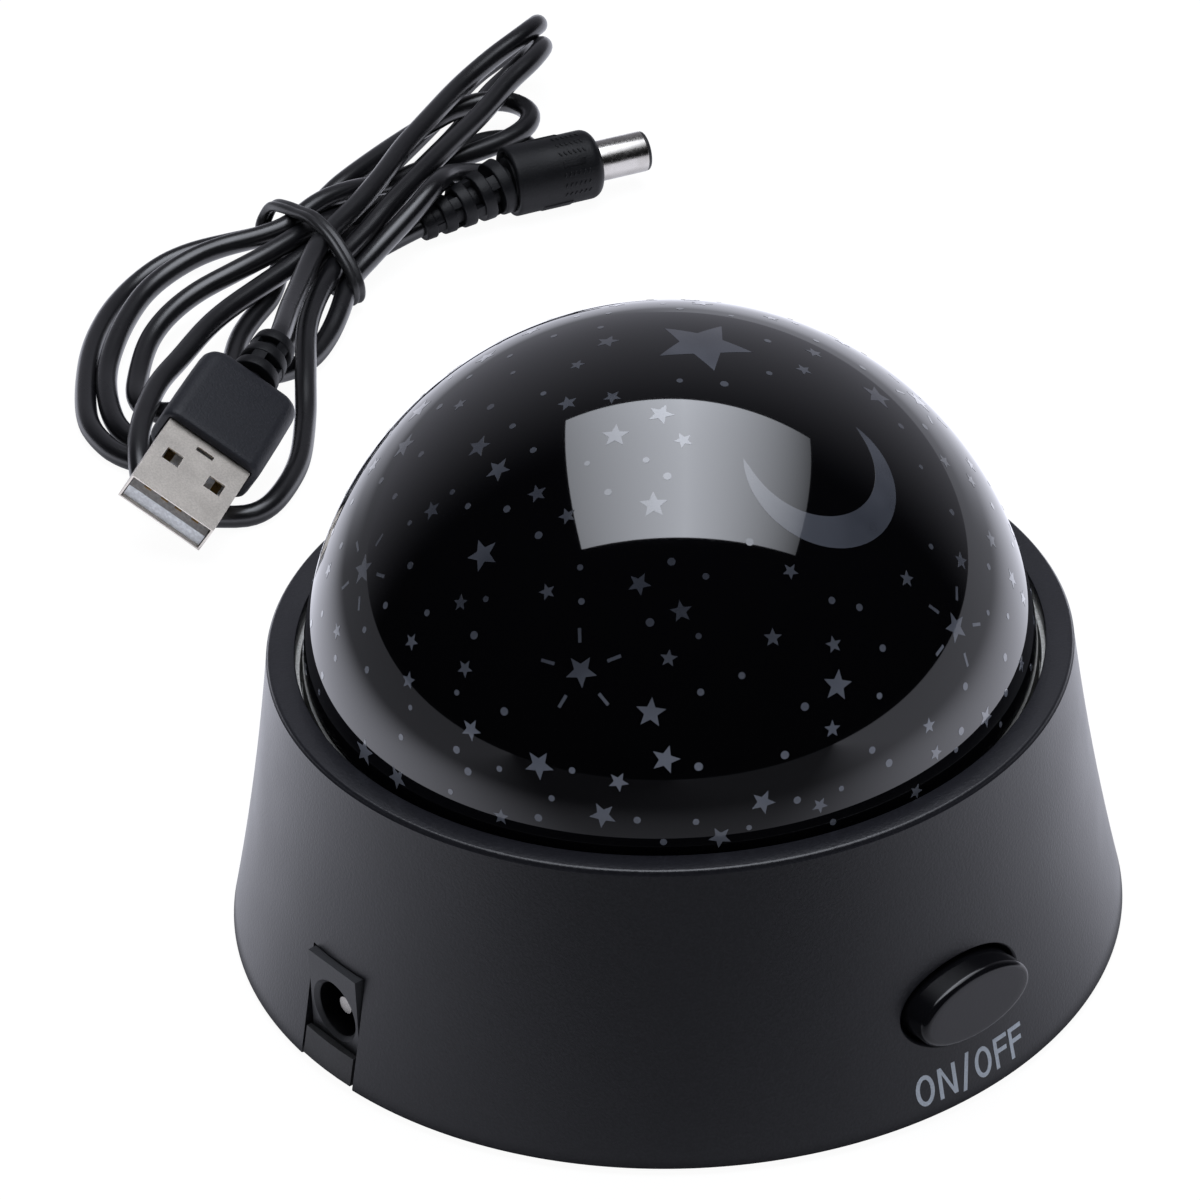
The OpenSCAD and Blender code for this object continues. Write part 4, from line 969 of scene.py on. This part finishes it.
def brushed(name, colour, rough=0.28):
    """Machined or stamped metal with a fine uneven gloss."""
    finish = Finish(name, colour, rough, Metallic=1.0)
    fine = finish.noise(1.5 * mm, 4, (1, 1, 0.2))
    finish.sheen(fine, rough - 0.06, rough + 0.1)
    return finish.bump(fine, 0.004 * mm)


def board_finish(name, colour, track):
    """A circuit board: solder mask over faint tracks."""
    finish = Finish(name, colour, 0.35)
    tracks = finish.node("ShaderNodeTexVoronoi", {"feature": "DISTANCE_TO_EDGE"},
                         {"Vector": finish.place(), "Scale": 1 / (4 * mm)})
    finish.shades(tracks, 0.03, 0.06, track, colour)
    return finish.bump(finish.step(tracks, 0.03, 0.06), -0.03 * mm)


socket_finish = moulded("socket_plastic", (0.03, 0.031, 0.035), 0.42, 0.25 * mm)
off_axis = socket_finish.node("ShaderNodeVectorMath", {"operation": "MULTIPLY_ADD"},
                              {0: socket_finish.place(), 1: (0, 1, 1), 2: (0, 0, -8.3 * mm)})
# Painted shade: within 3.2 mm of the socket's axis, in its mouth, the plastic is painted nearly black, for the
# shade inside the bore.
socket_finish.shades(socket_finish.length(off_axis), 3.2 * mm, 3.35 * mm, (0.002, 0.002, 0.003),
                     (0.03, 0.031, 0.035))
lens_finish = Finish("clear_lens", (0.9, 0.92, 0.95), 0.06, Transmission_Weight=0.9, IOR=1.45)
lens_finish.sheen(lens_finish.noise(2 * mm), 0.03, 0.1)
steel = brushed("zinc_steel", (0.5, 0.5, 0.49))
own_shapes = (
    (moulded("black_plastic", (0.014, 0.014, 0.015), 0.45), "base_plate", "switch_body"),
    (socket_finish, "socket_body"),
    (moulded("white_plastic", (0.66, 0.66, 0.63), 0.4), "deck", "dome_carrier", "led_post", "wire_headers",
     "button_plunger", "drive_pinion"),
    (moulded("tongue_plastic", (0.74, 0.76, 0.8), 0.35, 0.5 * mm, 0.006 * mm), "usb_tongue"),
    (moulded("rubber", (0.02, 0.02, 0.02), 0.75, 0.5 * mm, 0.04 * mm), "rubber_feet"),
    (steel, "plate_screws", "deck_screws", "motor_screws", "board_screws", "carrier_screws", "drive_motor",
     "motor_shaft"),
    (nickel, "socket_pin", "plug_sleeve", "socket_terminals"),
    (brushed("gold_plate", (0.78, 0.55, 0.24), 0.25), "usb_contacts"),
    (board_finish("green_board", (0.012, 0.075, 0.035), (0.03, 0.14, 0.07)), "main_board", "switch_board"),
    (board_finish("white_board", (0.7, 0.7, 0.68), (0.55, 0.55, 0.53)), "led_board"),
    (moulded("chip_epoxy", (0.018, 0.018, 0.019), 0.5, 0.3 * mm, 0.01 * mm), "controller_chip"),
    (moulded("capacitor_film", (0.02, 0.03, 0.09), 0.3, 2 * mm, 0.004 * mm), "filter_capacitor"),
    (lens_finish, "led_lens", "led_emitter"),
    (moulded("red_wire", (0.42, 0.02, 0.016), 0.4, 0.6 * mm, 0.006 * mm), "led_wires"),
    (moulded("blue_wire", (0.02, 0.06, 0.35), 0.4, 0.6 * mm, 0.006 * mm), "motor_wires"),
    (moulded("white_wire", (0.62, 0.62, 0.6), 0.4, 0.6 * mm, 0.006 * mm), "switch_wires"))
for finish, *names in own_shapes:
    for name in names:
        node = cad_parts[name]
        if not node.material_slots:
            node.data.materials.append(None)
        for slot in node.material_slots:
            slot.material = finish.material

# The return spring between the button's flange and the switch: three coils of steel wire, which close up
# as the button goes in.
coil_near, coil_far = (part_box("button_spring")[k].y / mm for k in (0, 1))
coil_r, wire_r, coil_count, coil_steps = 2.9, 0.35, 3, 96
coil_rings = []
for k in range(coil_steps + 1):
    turn = coil_count * 2 * math.pi * k / coil_steps
    y = coil_near + wire_r + (coil_far - coil_near - 2 * wire_r) * k / coil_steps
    coil_rings.append([((coil_r + wire_r * math.cos(a)) * math.cos(turn), y + wire_r * math.sin(a),
                        button_z + (coil_r + wire_r * math.cos(a)) * math.sin(turn)) for a in turns(10)])
button_coil = solid("button_coil", lofted(coil_rings), steel, "button", "steel", "button_spring")
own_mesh(button_coil)


# --- the table and the light: a plain pale floor, one wide soft lamp overhead and a little light all round.
# The floor shows white to the camera; a polished surface mirrors it as a pale table with a painted soft
# shadow, dimmed where the mirrored ray is short.

floor = placed("floor", raw_mesh("floor", [(-6, -6, 0), (6, -6, 0), (6, 6, 0), (-6, 6, 0)], [(0, 1, 2, 3)]))
floor_finish = Finish("pale_floor", (0.8, 0.8, 0.8), 0.9)
seen, mirrored = floor_finish.ray("Is Camera Ray"), floor_finish.ray("Is Glossy Ray")
through, reach = floor_finish.ray("Is Transmission Ray"), floor_finish.ray("Ray Length")
view_x, view_y = 0.632, 0.775  # the way the camera looks, along the floor
spot_x, spot_y, _ = floor_finish.parts(floor_finish.place())
to_right = spot_x * view_y - spot_y * view_x
to_back = spot_x * view_x + spot_y * view_y
off_centre = floor_finish.length(floor_finish.place())
far_level = (floor_finish.step(to_right, -0.15, 0.15, 0.16, 0.34)
             + floor_finish.step(to_back / off_centre, 0.6, 0.95, 0.0,
                                 floor_finish.step(off_centre, 0.15, 0.9, 0.5, 0.1)))
# Painted shadow: the floor's glow in the mirror falls to 0.3 where the mirrored ray is shorter than 1.5 to 6
# mm, for the shade next to the object.
floor_glow_with_painted_shadow = (floor_finish.step(reach, 0.0015, 0.006, 0.3, 1.0)
         * floor_finish.step(to_back + abs(to_right) * 0.9, -0.1, 0.14, 0.24, 1.42)
         * (1 - floor_finish.step(off_centre, 0.1, 0.3) * (1 - far_level)))
light = floor_finish.node("ShaderNodeEmission", None, {
    "Color": floor_finish.mix(mirrored, (1, 1, 1), (0.89, 0.905, 1.02)),
    "Strength": mirrored * floor_glow_with_painted_shadow + (1 - mirrored) * 1.06})
lit = Value(floor_finish, floor_finish.shader.outputs[0])
blend = floor_finish.node("ShaderNodeMixShader", None, {
    0: seen * 0.9 + mirrored + through * 0.9, 1: lit, 2: light})
floor_finish.put(floor_finish.tree.nodes["Material Output"].inputs["Surface"], blend)
floor.data.materials.append(floor_finish.material)


lamp = placed("softbox", bpy.data.lights.new("softbox", "AREA"))
lamp.data.shape = "RECTANGLE"
lamp_wide, lamp_deep, lamp_level = 0.78, 0.6, 2.5
lamp.data.size, lamp.data.size_y = lamp_wide, lamp_deep
lamp.data.energy = lamp_level * math.pi * lamp_wide * lamp_deep
lamp.data.color = (0.88, 0.915, 1)
lamp.data.use_nodes = True
lamp.matrix_world = Matrix.Translation((0.145, 0.021, 0.66)) @ Matrix.Rotation(math.radians(-39.2), 4, "Z")
glow = Tree(lamp.data.node_tree, "Emission")
off_middle = glow.parts(glow.node("ShaderNodeNewGeometry", out="Parametric"))[0] - 0.45
glow.set("Strength", 2.05 - glow.node("ShaderNodeMath", {"operation": "MAXIMUM"},
                                      {0: off_middle * 3.2, 1: off_middle * -2.5}))

# What a polished surface mirrors: a dark room toward the camera, lighter behind and low, and a pale floor.
world = bpy.data.worlds.new("studio")
world.use_nodes = True
bpy.context.scene.world = world
room = Tree(world.node_tree, "Background")
toward_x, toward_y, toward_z = room.parts(room.place("Generated"))
behind = toward_x * view_x + toward_y * view_y
sky = room.step(behind, 0.25, 0.95, 0.0, 0.35) * (1 - toward_z * 0.6) + 0.004
mirrored, seen = room.ray("Is Glossy Ray"), room.ray("Is Camera Ray")
fill = 0.25
room.set("Color", room.mix(mirrored, (1, 1, 1), (0.92, 0.925, 1.06)))
room.set("Strength", mirrored * sky + seen + (1 - mirrored) * (1 - seen) * fill)
